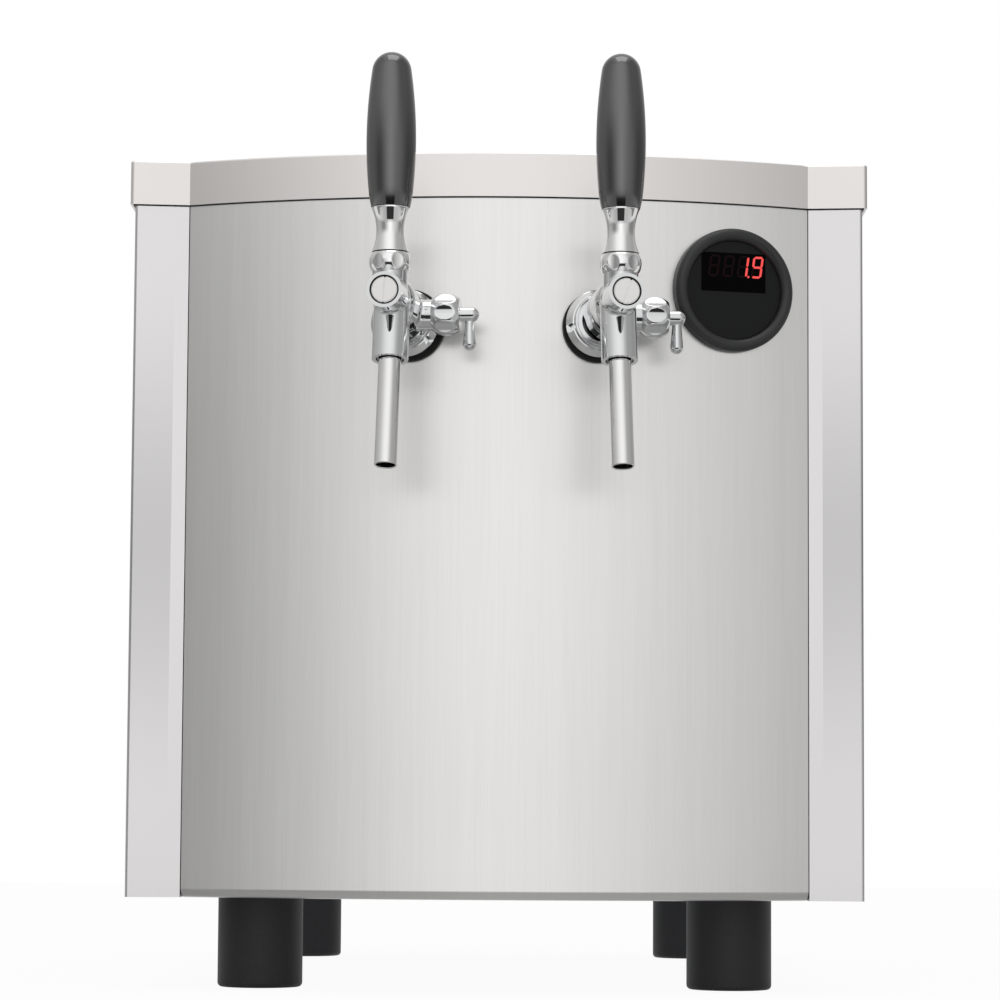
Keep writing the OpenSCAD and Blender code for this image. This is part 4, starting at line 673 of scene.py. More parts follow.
shank = turned("shank", [(0, shank_start - spare), (shank_r, shank_start - spare), (shank_r, shank_start),
                         (shank_end_r, shank_end), (0, shank_end)])
spine_tilt = math.degrees(math.atan((spine_high - spine_low) / spine_len))
spine = turned("spine", [(0, -spare), (spine_r, -spare), (spine_r, 0),
                         *arc((0, spine_len), spine_end_r, 0, 90, 16)])
on_spine = shift(0, -shank_start, spine_low) @ spun(-spine_tilt, "X") @ out_of_panel
body_form = joined(
    "tap_body_form",
    seat(shank, out_of_panel),
    seat(spine, on_spine),
    seat(rod("boss", boss_r, shank_end - 2 * boss_r, boss_face + spare), on_valve),
    seat(rod("barrel", barrel_r, -barrel_len - spare, 0), on_barrel),
    seat(rod("neck", neck_r, valve_rise, neck_top + spare), shift(0, -lever_reach, 0)),
    seat(rod("side_neck", comp_neck_r, 0, comp_neck_end + spare), on_compensator),
)
cast(body_form, 0.5, 14)
down_barrel = on_barrel.to_3x3() @ Vector((0, 0, -1))
trim(body_form, (0, -boss_face, 0), (0, -1, 0))
trim(body_form, (on_barrel @ Vector((0, 0, -barrel_len * mm))) / mm, down_barrel)
trim(body_form, (0, 0, neck_top), (0, 0, 1))
trim(body_form, (comp_neck_end, 0, 0), (1, 0, 0))
trim(body_form, (0, -shank_start, 0), (0, 1, 0))
print("cast body:", len(body_form.data.polygons), "faces")

# %% Bores of the tap body
tail_r, tail_end, passage_r = 11.0, -36.0, 5.0
plunger_bore_r, valve_back, chamber_front = 5.05, 34.28, 42.5
plug_thread_r, plug_back, plug_seat_r = 6.5, 79.0, 7.65
spigot_r, spigot_top, pivot_bore_r = 7.45, 20.8, 6.05
recess_r, recess_depth, seat_bore_r, spout_seat, spout_bore_r = 7.4, 5.0, 5.85, 16.0, 5.0
comp_bore_r, slot_w, slot_deep, slot_mid, slot_rise = 4.6, 6.4, 10.1, 2.35, 8.0

combine(body_form, seat(rod("tail", tail_r, tail_end, shank_start + 1), out_of_panel), "UNION")
spigot = rod("spigot", spigot_r, neck_top - 1, spigot_top)
combine(body_form, seat(spigot, shift(0, -lever_reach, 0)), "UNION")
finger_slot = box_outline(slot_w, slot_deep, slot_mid)
cuts = [
    (rod("passage", passage_r, tail_end - 1, valve_back + 3.8), out_of_panel),
    (rod("valve_bore", plunger_bore_r, valve_back, plug_back + 1), on_valve),
    (rod("valve_chamber", plunger_bore_r + 1.45, valve_back, chamber_front), on_valve),
    (rod("plug_bore", plug_thread_r, plug_back, boss_face + 1), on_valve),
    (rod("plug_seat", plug_seat_r, boss_face - 1, boss_face + 1), on_valve),
    (rod("pivot_bore", pivot_bore_r, -6.4, 24), on_pivot),
    (rod("spout_bore", spout_bore_r, -barrel_len, 0), on_barrel),
    (rod("spout_seat", seat_bore_r, -barrel_len - 1, spout_seat - barrel_len), on_barrel),
    (rod("recess", recess_r, -barrel_len - 1, recess_depth - barrel_len), on_barrel),
    (rod("compensator_bore", comp_bore_r, 0, comp_neck_end + 1), on_compensator),
    (plate("finger_slot", finger_slot, slot_rise), shift(0, -lever_reach, valve_rise)),
]
for tool, matrix in cuts:
    combine(body_form, seat(tool, matrix))
shade(body_form, 32)
on_both_taps(body_form, "cast_body", "{}_tap_body", "root", shaded_chrome, "chrome")
print("bores cut:", len(cuts))

# %% [markdown]
# The flange is turned: a straight edge, a cone with four spanner holes, and a ring. It presses a rubber
# gasket against the bowed panel, so the gasket's back is cut with the bow.

# %% Flange and gasket
flange_r, flange_ring_r, flange_bore_r = 18.4, 14.8, 11.05
edge_top, cone_top, ring_top, lip_r, lip_in = 6.0, 12.0, 14.9, 13.4, 0.2
spanner_holes, spanner_r, spanner_low, spanner_high = 4, 2.3, 5.8, 14.0
gasket_r, gasket_hole_r, gasket_t, gasket_back, gasket_sag = 19.5, 14.0, 4.0, -2.0, 2.5
seam_x, bow_rise, strip_toe = 170.0, 34.0, 3.4
bow_r = (seam_x ** 2 + bow_rise ** 2) / (2 * bow_rise)
bow_y = strip_toe - bow_rise + bow_r

flange = turned("flange", [
    (flange_bore_r, gasket_t), (flange_r - 0.4, gasket_t), (flange_r, gasket_t + 0.4), (flange_r, edge_top),
    *arc((flange_r - 1.0, edge_top), 1.0, 0, 62, 6),
    (flange_ring_r + 0.9, cone_top), (flange_ring_r + 0.25, cone_top + 0.1), (flange_ring_r, cone_top + 0.4),
    *arc((flange_ring_r - 0.7, ring_top - 0.7), 0.7, 0, 90, 5),
    (lip_r, ring_top), (lip_r - lip_in, ring_top + lip_in), (lip_r - lip_in, shank_start),
    (flange_bore_r, shank_start), (flange_bore_r, gasket_t),
])
holes_at = shift((flange_r + flange_ring_r) / 2 + 0.4, 0, 0)
for i in range(spanner_holes):
    hole = rod("spanner_hole", spanner_r, spanner_low, spanner_high, 40)
    combine(flange, seat(hole, spun(i * 360 / spanner_holes, "Z") @ holes_at))
seat(flange, out_of_panel)
shade(flange, 25)
flange_turns = {"left": shift(-0.4, 0, -1.6) @ spun(37, "Y"), "right": shift(-1.8, 0, -1.2) @ spun(-11, "Y")}
on_both_taps(flange, "turned_flange", "{}_tap_flange", "root", shaded_chrome, "chrome", flange_turns)


def bow_drum(middle_y, middle_z):
    """The cabinet's bow as a drum, to cut pieces that sit on the panel."""
    return seat(rod("bow", bow_r, -60, 60, 720), shift(0, middle_y, middle_z))


gasket = turned("gasket", [
    (gasket_hole_r, gasket_back), (gasket_r, gasket_back),
    *arc((gasket_r - 1.0, gasket_t - 1.0), 1.0, 0, 90, 5),
    (gasket_hole_r, gasket_t), (gasket_hole_r, gasket_back),
])
seat(gasket, shift(0, 0, -gasket_sag) @ out_of_panel)
combine(gasket, bow_drum(bow_r, 0))
shade(gasket, 28)
gasket_turns = {"left": shift(1.4, 0, 0), "right": shift(-1.9, 0, 0)}
on_both_taps(gasket, "rubber_gasket", "{}_tap_gasket", "root", gasket_rubber, "gasket_rubber", gasket_turns)
print("flanges and gaskets stand on the panel")

# %% [markdown]
# The front plug closes the valve's bore. It is a thin plate with a screwdriver's slot, and a rubber ring
# seals it. The slot stands upright on the left tap and leans on the right one, as the two were screwed
# in.

# %% Front plug
plug_r, plug_thread = 6.85, 6.45
rim_low, rim_high, rim_top, seal_back, slot_floor = 85.2, 85.5, 85.7, 85.02, 85.0
slot_lean = {"left": spun(4, "Y"), "right": spun(20, "Y")}
plug = turned("plug", [
    (0, plug_back + 0.05), (plug_thread, plug_back + 0.05), (plug_thread, rim_low), (plug_r, rim_low),
    (plug_r, rim_high), (plug_r - 0.2, rim_top), (plug_thread, rim_top),
    (plug_thread, boss_face - 0.15), (plug_thread - 0.15, boss_face), (0, boss_face),
])
slot_cut = plate("plug_slot", box_outline(1.0, 16.0), 2.0)
combine(plug, seat(slot_cut, shift(0, 0, slot_floor)))
seat(plug, out_of_panel)
shade(plug, 30)
in_bore = shift(0, 0, valve_rise)
own_turns = {side: in_bore @ lean for side, lean in slot_lean.items()}
on_both_taps(plug, "slotted_plug", "{}_tap_front_plug", "root", plug_plate, "plug_plate", own_turns)
seal = turned("plug_seal", [(plug_thread, seal_back), (plug_seat_r, seal_back), (plug_seat_r, rim_high),
                            (plug_thread, rim_high), (plug_thread, seal_back)])
seat(seal, in_bore @ out_of_panel)
on_both_taps(seal, "plug_seal", "{}_tap_front_plug", "root", gasket_rubber, "gasket_rubber")
print("plugs closed over their seal rings")

# %% [markdown]
# The collar nut holds the lever's ball. Its side bulges, its top is a dome about the pivot, and six
# shallow hollows give fingers a grip. The hollows are cut first and the skin is smoothed after that, so
# that their rims are as soft as on plated brass. The same steps make the ball-shaped bonnet on the
# compensator.

# %% Collar nut
collar_r, collar_bulge_r, collar_ball_r, collar_low, collar_high = 11.1, 8.6, 12.66, -1.9, 8.4
collar_top_r, collar_flute_top, ball_room_r, stem_room = 9.6, 7.0, 6.3, 3.4
flute_r, collar_flutes, collar_flute_depth = 10.0, 6, 1.05


def fluted(piece, radius, depth, low, high, count):
    """Cuts this many hollows round a turned piece."""
    for i in range(count):
        tool = rod("flute", flute_r, low, high, 64)
        about = spun(i * 360 / count, "Z") @ shift(radius + flute_r - depth, 0, 0)
        combine(piece, seat(tool, about))
    return piece


bulge_mid = (collar_low + collar_high) / 2
bulge_axis = collar_r - collar_bulge_r
dome_start = tilt_of(collar_top_r, collar_ball_r)
low_angle = math.degrees(math.asin((collar_low - spare / 2 - bulge_mid) / collar_bulge_r))
high_angle = tilt_of(collar_top_r - bulge_axis, collar_bulge_r)
collar = turned("collar", [
    (0, collar_low - spare / 2),
    *arc((bulge_axis, bulge_mid), collar_bulge_r, low_angle, high_angle, 16),
    *arc((0, 0), collar_ball_r, dome_start, 90, 16),
])
fluted(collar, collar_r, collar_flute_depth, collar_low - spare, collar_flute_top, collar_flutes)
cast(collar, 0.3, 9)
trim(collar, (0, 0, collar_low), (0, 0, -1))
combine(collar, rod("collar_bore", spigot_r + 0.05, -3, 2.25))
combine(collar, turned("ball_room", arc((0, 0), ball_room_r, -90, 90, 32)))
stem_fan = [(stem_room, 0), (stem_room, 27), (-14.49, 23.03), (-3.08, -1.44)]
wedge = plate("stem_room", stem_fan, 2 * stem_room)
combine(collar, seat(wedge, x_to_y_to_z @ shift(0, 0, -stem_room)))
seat(collar, on_pivot)
shade(collar, 35)
on_both_taps(collar, "fluted_collar", "{}_tap_collar_nut", "root", chrome, "chrome")
print("collar nut:", collar_flutes, "hollows")

# %% Compensator bonnet
bonnet_r, bonnet_half, bonnet_mid, spindle_bore_r = 11.5, 7.5, 24.5, 2.55
bonnet_flutes, bonnet_flute_depth, bonnet_flute_half = 8, 1.45, 5.8
bonnet = turned("bonnet", [(0, -bonnet_half - 2), *arc((0, 0), bonnet_r, -55, 55, 24), (0, bonnet_half + 2)])
fluted(bonnet, bonnet_r, bonnet_flute_depth, -bonnet_flute_half, bonnet_flute_half, bonnet_flutes)
cast(bonnet, 0.3, 8)
trim(bonnet, (0, 0, bonnet_half), (0, 0, 1))
trim(bonnet, (0, 0, -bonnet_half), (0, 0, -1))
combine(bonnet, rod("spindle_bore", spindle_bore_r, -bonnet_r, bonnet_r, 48))
seat(bonnet, shift(0, -comp_reach, 0) @ to_the_right @ shift(0, 0, bonnet_mid))
shade(bonnet, 35)
on_both_taps(bonnet, "fluted_bonnet", "{}_compensator_bonnet", "root", shaded_chrome, "chrome")
print("bonnet:", bonnet_flutes, "hollows")

# %% [markdown]
# The compensator's lever turns the cone that sets the flow. Outside there is a short hub with a
# drop-shaped arm, melted into one casting. Inside there is a thin spindle with a crank disc and a pin,
# which stay crisp.

# %% Compensator lever
hub_r, hub_start, hub_end = 4.1, 32.3, 38.0
arm_x, arm_top_r, arm_low_r, arm_len = 37.0, 2.1, 3.5, 15.8
spindle_r, disc_r, disc_start, disc_end, pin_r, pin_aside = 2.5, 4.2, 5.2, 7.2, 1.2, 2.5
hub = turned("hub", [(0, hub_start - spare), (hub_r, hub_start - spare),
                     *arc((0, hub_end), hub_r, 0, 90, 12)])
arm = turned("arm", [(0, -arm_len - arm_low_r), *arc((0, -arm_len), arm_low_r, -80, 0, 10),
                     (arm_top_r, 0), (0, 0)])
flow_lever = joined("flow_lever", seat(hub, to_the_right), seat(arm, shift(arm_x, 0, 0)))
cast(flow_lever, 0.25, 8)
trim(flow_lever, (hub_start, 0, 0), (-1, 0, 0))
spindle = turned("spindle", [(0, disc_start), (disc_r, disc_start), (disc_r, disc_end),
                             (spindle_r, disc_end), (spindle_r, hub_start + 1), (0, hub_start + 1)])
combine(flow_lever, seat(spindle, to_the_right), "UNION")
crank_pin = rod("crank_pin", pin_r, 2.3, disc_end - 1, 32)
combine(flow_lever, seat(crank_pin, shift(0, 0, pin_aside) @ to_the_right), "UNION")
seat(flow_lever, shift(0, -comp_reach, 0))
shade(flow_lever, 35)
on_both_taps(flow_lever, "flow_lever", "{}_compensator_lever", "{}_compensator", shaded_chrome, "chrome")
print("compensator lever:", arm_len, "mm arm")

# %% [markdown]
# The tap's lever is one turned piece from the finger inside the valve, through the pivot ball, to the
# waisted ferrule that carries the handle. The handle is a moulded grip with a gentle belly and a domed
# top. Both are turned about the pivot's upright axis. The handles are kept out of mirror reflections,
# since the brushed sheets of the photograph don't show them.

# %% Lever with its ferrule, and the handle
cup_r, ferrule_r, waist_r, ferrule_top, stem_r, stem_top = 13.06, 10.0, 7.4, 31.95, 3.0, 61.95
ferrule_low = math.sqrt(cup_r ** 2 - ferrule_r ** 2)
waist_z = (ferrule_low + ferrule_top) / 2
half_h, sag = (ferrule_top - ferrule_low) / 2, ferrule_r - waist_r
waist_arc = (half_h ** 2 + sag ** 2) / (2 * sag)
swing = math.degrees(math.asin((half_h - 0.5) / waist_arc))
cup_start = tilt_of(stem_r, cup_r)
cup_end = tilt_of(ferrule_r - 0.3, cup_r)
ball_r, finger_r, finger_ball_r, finger_len = 6.0, 1.9, 2.8, 14.0
tip_angle = tilt_of(finger_r, finger_ball_r)
ball_low = tilt_of(finger_r, ball_r)
ball_high = tilt_of(stem_r, ball_r)
lever = turned("lever", [
    *arc((0, -finger_len), finger_ball_r, -90, tip_angle, 14),
    *arc((0, 0), ball_r, -ball_low, ball_high, 24),
    *arc((0, 0), cup_r, cup_start, cup_end, 8),
    (ferrule_r, ferrule_low + 0.4),
    *arc((waist_r + waist_arc, waist_z), waist_arc, 180 + swing, 180 - swing, 28),
    (ferrule_r, ferrule_top - 0.25), (ferrule_r - 0.25, ferrule_top),
    (stem_r, ferrule_top), (stem_r, stem_top), (0, stem_top),
], 128)
seat(lever, on_pivot)
shade(lever, 28)
on_both_taps(lever, "turned_lever", "{}_tap_lever", "{}_lever", chrome, "chrome")

grip_r, belly_r, belly_h, shoulder_h, bore_depth, stem_bore_r = 13.0, 268.0, 35.5, 74.0, 30.3, 3.05
draw_rate, draw_below, side_steps = 0.007, 9.0, 30


def grip_radius(height_here):
    """The grip's radius by height: an arc that draws in a little more near its foot."""
    drawn_in = draw_rate * max(0.0, draw_below - height_here) ** 2
    return grip_r - belly_r + math.sqrt(belly_r ** 2 - (height_here - belly_h) ** 2) - drawn_in


shoulder_r = grip_radius(shoulder_h)
dome_r = shoulder_r * belly_r / (shoulder_r + belly_r - grip_r)
dome_h = shoulder_h - dome_r * (shoulder_h - belly_h) / belly_r
dome_from = math.degrees(math.asin((shoulder_h - dome_h) / dome_r))
sides = [0.5 + (shoulder_h - 0.5) * i / side_steps for i in range(side_steps)]
foot_grip_r = grip_radius(0)
handle = turned("handle", [
    (0, bore_depth), (stem_bore_r, bore_depth), (stem_bore_r, 0),
    (foot_grip_r - 0.3, 0), (foot_grip_r - 0.1, 0.1),
    *[(grip_radius(h), h) for h in sides],
    *arc((0, dome_h), dome_r, dome_from, 90, 20),
], 128)
seat(handle, on_pivot @ shift(0, 0, ferrule_top))
shade(handle, 40)
on_both_taps(handle, "moulded_handle", "{}_tap_handle", "{}_lever", handle_black, "handle_black")
for side in tap_frames:
    bpy.data.objects[f"{side}_moulded_handle"].visible_glossy = False
print("handle:", round(dome_h + dome_r, 1), "mm tall")

# %% [markdown]
# The spout is a thin tube pressed into the barrel, with a slightly smaller seat and a rounded lip.

# %% Spout
spout_r, spout_len, spout_seat_r, lip = 6.0, 58.0, 5.8, 0.5
lip_z, seat_top = lip - spout_len, spout_seat - 0.05
spout = turned("spout", [
    (spout_bore_r, lip_z), *arc((spout_bore_r + lip, lip_z), lip, 180, 360, 8), (spout_r, 0),
    (spout_seat_r, 0), (spout_seat_r, seat_top), (spout_bore_r, seat_top), (spout_bore_r, lip_z),
])
seat(spout, on_barrel @ shift(0, 0, -barrel_len))
shade(spout, 40)
on_both_taps(spout, "spout_tube", "{}_tap_spout", "root", spout_steel, "chrome")
print("tap pieces done")

# %% [markdown]
# ## The thermometer
#
# A round panel thermometer sits in a hole in the bowed panel and faces a little to the right, as the
# panel does there. Its ring has a rounded crown and is cut with the bow at the back. The face is flat and
# dark, with a glossier black window. Behind the window there are four digits of seven bars each: only
# some are lit.

# %% Ring
therm_inset = 42.6
therm_z = (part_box("thermometer_face")[0].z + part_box("thermometer_face")[1].z) / 2 / mm
front_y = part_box("left_side_panel")[0].y / mm
therm_turn = math.asin((seam_x - therm_inset) / bow_r)
therm_x, therm_y = bow_r * math.sin(therm_turn), front_y + bow_y - bow_r * math.cos(therm_turn)
on_thermometer = shift(therm_x, therm_y, therm_z) @ Matrix.Rotation(therm_turn, 4, "Z") @ out_of_panel
bezel_r, bezel_hole_r, bezel_back, crown_r, crown_s = 33.8, 27.0, -4.0, 3.4, 3.6
bezel = turned("bezel", [
    (bezel_hole_r, bezel_back), (bezel_r, bezel_back),
    *arc((bezel_r - crown_r, crown_s), crown_r, 0, 180, 20), (bezel_hole_r, bezel_back),
], 160)
seat(bezel, on_thermometer)
combine(bezel, bow_drum(front_y + bow_y, therm_z))
shade(bezel, 35)
dress(bezel, "root", bezel_plastic, "bezel_plastic", "thermometer_bezel")
print("thermometer turned", round(math.degrees(therm_turn), 1), "degrees")

# %% Face and window
face_r, face_back, face_front = 26.95, 1.4, 3.4
window_w, window_h, window_rise, window_depth, window_aside = 37.2, 21.4, 9.7, 0.4, -0.35
face_plastic = speckled("face_plastic", (0.006, 0.0065, 0.007), 0.45, 2200, 0.10, 0.08,
                        Specular_IOR_Level=0.22)
window_black = speckled("window_black", (0.001, 0.001, 0.0015), 0.25, 1500, 0.10, 0.01,
                        Specular_IOR_Level=0.03)

face = turned("face", [(0, face_back), (face_r, face_back), (face_r, face_front - 0.2),
                       (face_r - 0.2, face_front), (0, face_front)], 128)
window, at_window = box_outline(window_w, window_h, window_rise), face_front - window_depth
combine(face, seat(plate("window_opening", window, 2.0), shift(window_aside, 0, at_window)))
seat(face, on_thermometer)
shade(face, 30)
dress(face, "root", face_plastic, "face_plastic", "thermometer_face")

pane = plate("window_pane", window, 0.03)
seat(pane, on_thermometer @ shift(window_aside, 0, at_window))
dress(pane, "root", window_black, "face_plastic", "thermometer_face")
print("window:", window_w, "by", window_h, "mm")

# %% Digits
digit_w, digit_h, digit_pitch, bar, slant = 6.0, 12.0, 8.3, 1.15, math.tan(math.radians(8))
wide, tall, dim_depth, digits_aside, digits_up = digit_w - bar, digit_h - bar, 0.2, 1.2, 3.4
bars = {
    "a": ((0, 1), (1, 1)), "b": ((1, 0.5), (1, 1)), "c": ((1, 0), (1, 0.5)), "d": ((0, 0), (1, 0)),
    "e": ((0, 0), (0, 0.5)), "f": ((0, 0.5), (0, 1)), "g": ((0, 0.5), (1, 0.5)),
}
shown_digits = ["", "", "bc", "abcdfg"]
digits_wide = (len(shown_digits) - 1) * digit_pitch + digit_w + digit_h * slant
digits_left = -digits_wide / 2 + bar / 2 + digits_aside
digits_low = window_rise - digit_h / 2 + bar / 2 + digits_up


def digit_bar(ends, thickness):
    """One pointed bar between two corners of a digit's box, slanted."""
    (x0, y0), (x1, y1) = [(e[0] * wide, e[1] * tall) for e in ends]
    length = math.hypot(x1 - x0, y1 - y0)
    ux, uy = (x1 - x0) / length, (y1 - y0) / length
    half, gap = bar / 2, 0.12
    corners = [(gap, 0), (gap + half, -half), (length - gap - half, -half), (length - gap, 0),
               (length - gap - half, half), (gap + half, half)]
    outline = [(x0 + ux * u - uy * v, y0 + uy * u + ux * v) for u, v in corners]
    return plate("bar", [(x + y * slant, y) for x, y in outline], thickness)


lit_bars, dim_bars = [], []
for i, shown_bars in enumerate(shown_digits):
    for letter, ends in bars.items():
        is_lit = letter in shown_bars
        made = digit_bar(ends, window_depth if is_lit else dim_depth)
        seat(made, shift(digits_left + i * digit_pitch, digits_low, 0))
        (lit_bars if is_lit else dim_bars).append(made)
point = rod("point", bar / 2, 0, window_depth, 24)
lit_bars.append(seat(point, shift(digits_left + 2 * digit_pitch + digit_w + bar / 4, digits_low, 0)))

display_red = speckled("display_red", (0.35, 0.02, 0.02), 0.4, 900, 0.05, 0.02, Emission_Strength=0.9)
lit_wire = Wire(display_red.node_tree)
lit_grain = grain_of(lit_wire, (700, 700, 700))
feed(display_red, "Emission Color", tint(lit_wire, lit_grain, (0.80, 0.05, 0.05), (0.90, 0.09, 0.08)))
dim_red = speckled("dim_red", (0.010, 0.003, 0.0035), 0.4, 900, 0.08, 0.02, Specular_IOR_Level=0.05)
in_window = on_thermometer @ shift(0, 0, at_window)
for name, parts, finish in (("lit_digits", lit_bars, display_red), ("dim_digits", dim_bars, dim_red)):
    piece = seat(joined(name, *parts), in_window)
    dress(piece, "root", finish, "display_red", "display_digits")
print("digits:", len(lit_bars), "lit parts,", len(dim_bars), "dark ones")

# %% [markdown]
# ## The cabinet
#
# The front panel is one sheet, bent to the bow, with a rolled lower edge and a return at each side. Its
# section is drawn at one end and spun about the bow's axis, which keeps the sheet's thickness true all
# the way.

# %% Front panel
sheet, panel_low, panel_high = 1.5, 50.0, 451.0
roll_r, roll_lip, return_deep, return_low = 5.0, 8.0, 14.0, 60.0
seam_closed, tap_hole_r, therm_hole_r = 0.3, 11.3, 26.1
panel_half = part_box("front_panel")[1].x / mm + seam_closed
half_turn = math.asin(panel_half / bow_r)
section = [
    (bow_r, panel_high), *arc((bow_r - roll_r, panel_low + roll_r), roll_r, 0, -90, 10),
    (bow_r - roll_r - roll_lip, panel_low), (bow_r - roll_r - roll_lip, panel_low + sheet),
    *arc((bow_r - roll_r, panel_low + roll_r), roll_r - sheet, -90, 0, 8),
    (bow_r - sheet, panel_high), (bow_r, panel_high),
]
start = -math.pi / 2 + half_turn
panel = draw_line("bowed_panel", [(r * math.cos(start), r * math.sin(start), z) for r, z in section])
bpy.ops.mesh.remove_doubles(threshold=0.002 * mm)
bpy.ops.mesh.spin(steps=160, angle=2 * half_turn, center=(0, 0, 0), axis=(0, 0, 1))
bpy.ops.mesh.select_all(action="SELECT")
bpy.ops.mesh.fill_holes(sides=0)
close_up()
seat(panel, shift(0, front_y + bow_y, 0))
edge_y = front_y + bow_y - math.sqrt(bow_r ** 2 - panel_half ** 2)
for side in (-1, 1):
    fold = plate("return", box_outline(sheet, return_deep - sheet / 2), panel_high - return_low)
    fold_x = side * (panel_half - sheet / 2)
    combine(panel, seat(fold, shift(fold_x, edge_y + (return_deep + sheet / 2) / 2, return_low)), "UNION")
for tap_frame in tap_frames.values():
    combine(panel, seat(rod("tap_hole", tap_hole_r, -6, 6), tap_frame @ out_of_panel))
combine(panel, seat(rod("thermometer_hole", therm_hole_r, -9, 6), on_thermometer))
shade(panel, 20)
dress(panel, "root", brushed_front, "brushed_front", "front_panel")
print("panel spans", [round(v, 4) for v in panel.dimensions])

# %% [markdown]
# The lid is a shallow tray upside down. Its outline follows the two corner strips and the bow, a little
# larger than the cabinet. It is drawn up, hollowed from below by an inset, and rounded where a real sheet
# is bent: the upright corners most, the top edge only a little.

# %% Lid
lid_low, lid_high, lid_over, cabinet_depth = 428.5, 452.5, 2.5, 560.0
lid_rise = lid_high - lid_low
half_w = -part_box("left_side_panel")[0].x / mm
lid_half, lid_back = half_w + lid_over, cabinet_depth + lid_over


def cabinet_outline(over):
    """The cabinet's outline from above, this much larger on all sides."""
    half, back, radius = half_w + over, cabinet_depth + over, bow_r + over
    reach = math.degrees(math.asin(seam_x / radius))
    bow = arc((0, bow_y), radius, 270 - reach, 270 + reach, 120)
    return [(-half, back), (-half, -over), *bow, (half, -over), (half, back)]


lid = plate("folded_lid", cabinet_outline(lid_over), lid_rise)
activate(lid)
set_mode("EDIT")
bpy.ops.mesh.select_mode(type="FACE")
bpy.ops.mesh.select_all(action="DESELECT")
set_mode("OBJECT")
for polygon in lid.data.polygons:
    polygon.select = polygon.normal.z < -0.9
set_mode("EDIT")
bpy.ops.mesh.inset(thickness=sheet * mm, use_even_offset=True)
bpy.ops.mesh.extrude_region_move(TRANSFORM_OT_translate={"value": (0, 0, (lid_rise - sheet) * mm)})
close_up()


def is_lid_corner(a, b):
    at_corner = abs(abs(a.x) - lid_half) < 0.01 and min(abs(a.y + lid_over), abs(a.y - lid_back)) < 0.01
    return at_corner and abs(a.x - b.x) < 0.01 and abs(a.y - b.y) < 0.01


def is_lid_top(a, b):
    return min(a.z, b.z) > lid_rise - 0.01


bevel_where(lid, is_lid_corner, 2.5, 6)
bevel_where(lid, is_lid_top, 0.9, 5)
seat(lid, shift(0, front_y, lid_low))
shade(lid, 20)
dress(lid, "root", lid_steel, "satin_steel", "lid")
print("lid:", [round(v, 4) for v in lid.dimensions])

# %% [markdown]
# A thin black strip, finished as rubber, lies inside the lid's rim and reaches a little below it. It is a
# painted shadow: its lower lip makes the dark shadow line between the lid and the panels.

# %% Painted shadow line under the lid
# The strip stands where there is only the shadow gap under the rim, so it is a painted shadow line.
shadow_strip_in, shadow_strip_out, shadow_strip_drop, shadow_strip_tall = 0.06, 0.94, 0.4, 2.0
lid_shadow_strip = plate("lid_shadow_strip", cabinet_outline(shadow_strip_out), shadow_strip_tall)
combine(lid_shadow_strip, seat(plate("shadow_strip_room", cabinet_outline(shadow_strip_in), shadow_strip_tall + 2), shift(0, 0, -1)))
seat(lid_shadow_strip, shift(0, front_y, lid_low - shadow_strip_drop))
shade(lid_shadow_strip, 30)
dress(lid_shadow_strip, "root", gasket_rubber, "gasket_rubber", "lid")
print("seal of the lid:", len(lid_shadow_strip.data.polygons), "faces")

# %% [markdown]
# The side panels, the rear panel and the tray are folded sheets with many holes, which the solids already
# hold. They are copied, their triangles are dissolved back into whole faces, and every sharp edge gets a
# small bevel, so that it catches the light. The corner strips' outer edge is a bend, so it gets a larger
# one. The strips also get a painted shade: their colour is darker at half height, for a dimmer reflection.


# %% Softened sheets and fittings
def softened(node, name, edge, parts, body, finish, slot, bend=None):
    """A copy of a solid with rounded edges. bend is a test for bent edges, with the bend's radius."""
    piece = bpy.data.objects.new(name, frame["nodes"][node].data.copy())
    scene.collection.objects.link(piece)
    piece.data.transform(frame["nodes"][node].matrix_world)
    activate(piece)
    bpy.ops.mesh.customdata_custom_splitnormals_clear()
    set_mode("EDIT")
    bpy.ops.mesh.select_all(action="SELECT")
    bpy.ops.mesh.remove_doubles(threshold=0.002 * mm)
    bpy.ops.mesh.dissolve_limited(angle_limit=math.radians(0.3))
    set_mode("OBJECT")
    if bend:
        bevel_where(piece, bend[0], bend[1], 5)
    step = piece.modifiers.new("edges", "BEVEL")
    step.width = edge * mm
    step.segments = parts
    step.limit_method = "ANGLE"
    step.angle_limit = math.radians(35)
    finish_step(piece, step)
    shade(piece, 25)
    dress(piece, body, finish, slot, node)
    return piece


def is_front_corner(a, b):
    outside = abs(abs(a.x) - half_w) < 0.02 and abs(a.y - front_y) < 0.02
    return outside and abs(a.x - b.x) < 0.02 and abs(a.y - b.y) < 0.02


strip_steel = brushed_steel("strip_steel", satin_tone, 0.24, 0.5, 0.010, satin_grain)
# Painted shade: the corner strips' colour is darkened in a band about half height, standing in for a dimmer
# reflection.
painted_shade_z, painted_shade_half, painted_shade_share, strip_skin = 0.245, 0.150, 0.22, 2.5
wire = Wire(strip_steel.node_tree)
place = wire.node("ShaderNodeTexCoord", out="Object")
deep, high_up = [wire.node("ShaderNodeSeparateXYZ", inputs={0: place}, out=i) for i in (1, 2)]
away = wire.node("ShaderNodeMapRange", {"interpolation_type": "SMOOTHSTEP"},
                 {"Value": abs(high_up - painted_shade_z), "From Min": 0.0, "From Max": painted_shade_half})
painted_shade_band = 1 - (1 - away) * (deep < front_y * mm + strip_skin * mm) * painted_shade_share
sheet_colour = strip_steel.node_tree.nodes["Principled BSDF"].inputs["Base Color"].links[0].from_socket
painted_shade_inputs = {0: Wire(strip_steel.node_tree, sheet_colour), "Scale": painted_shade_band}
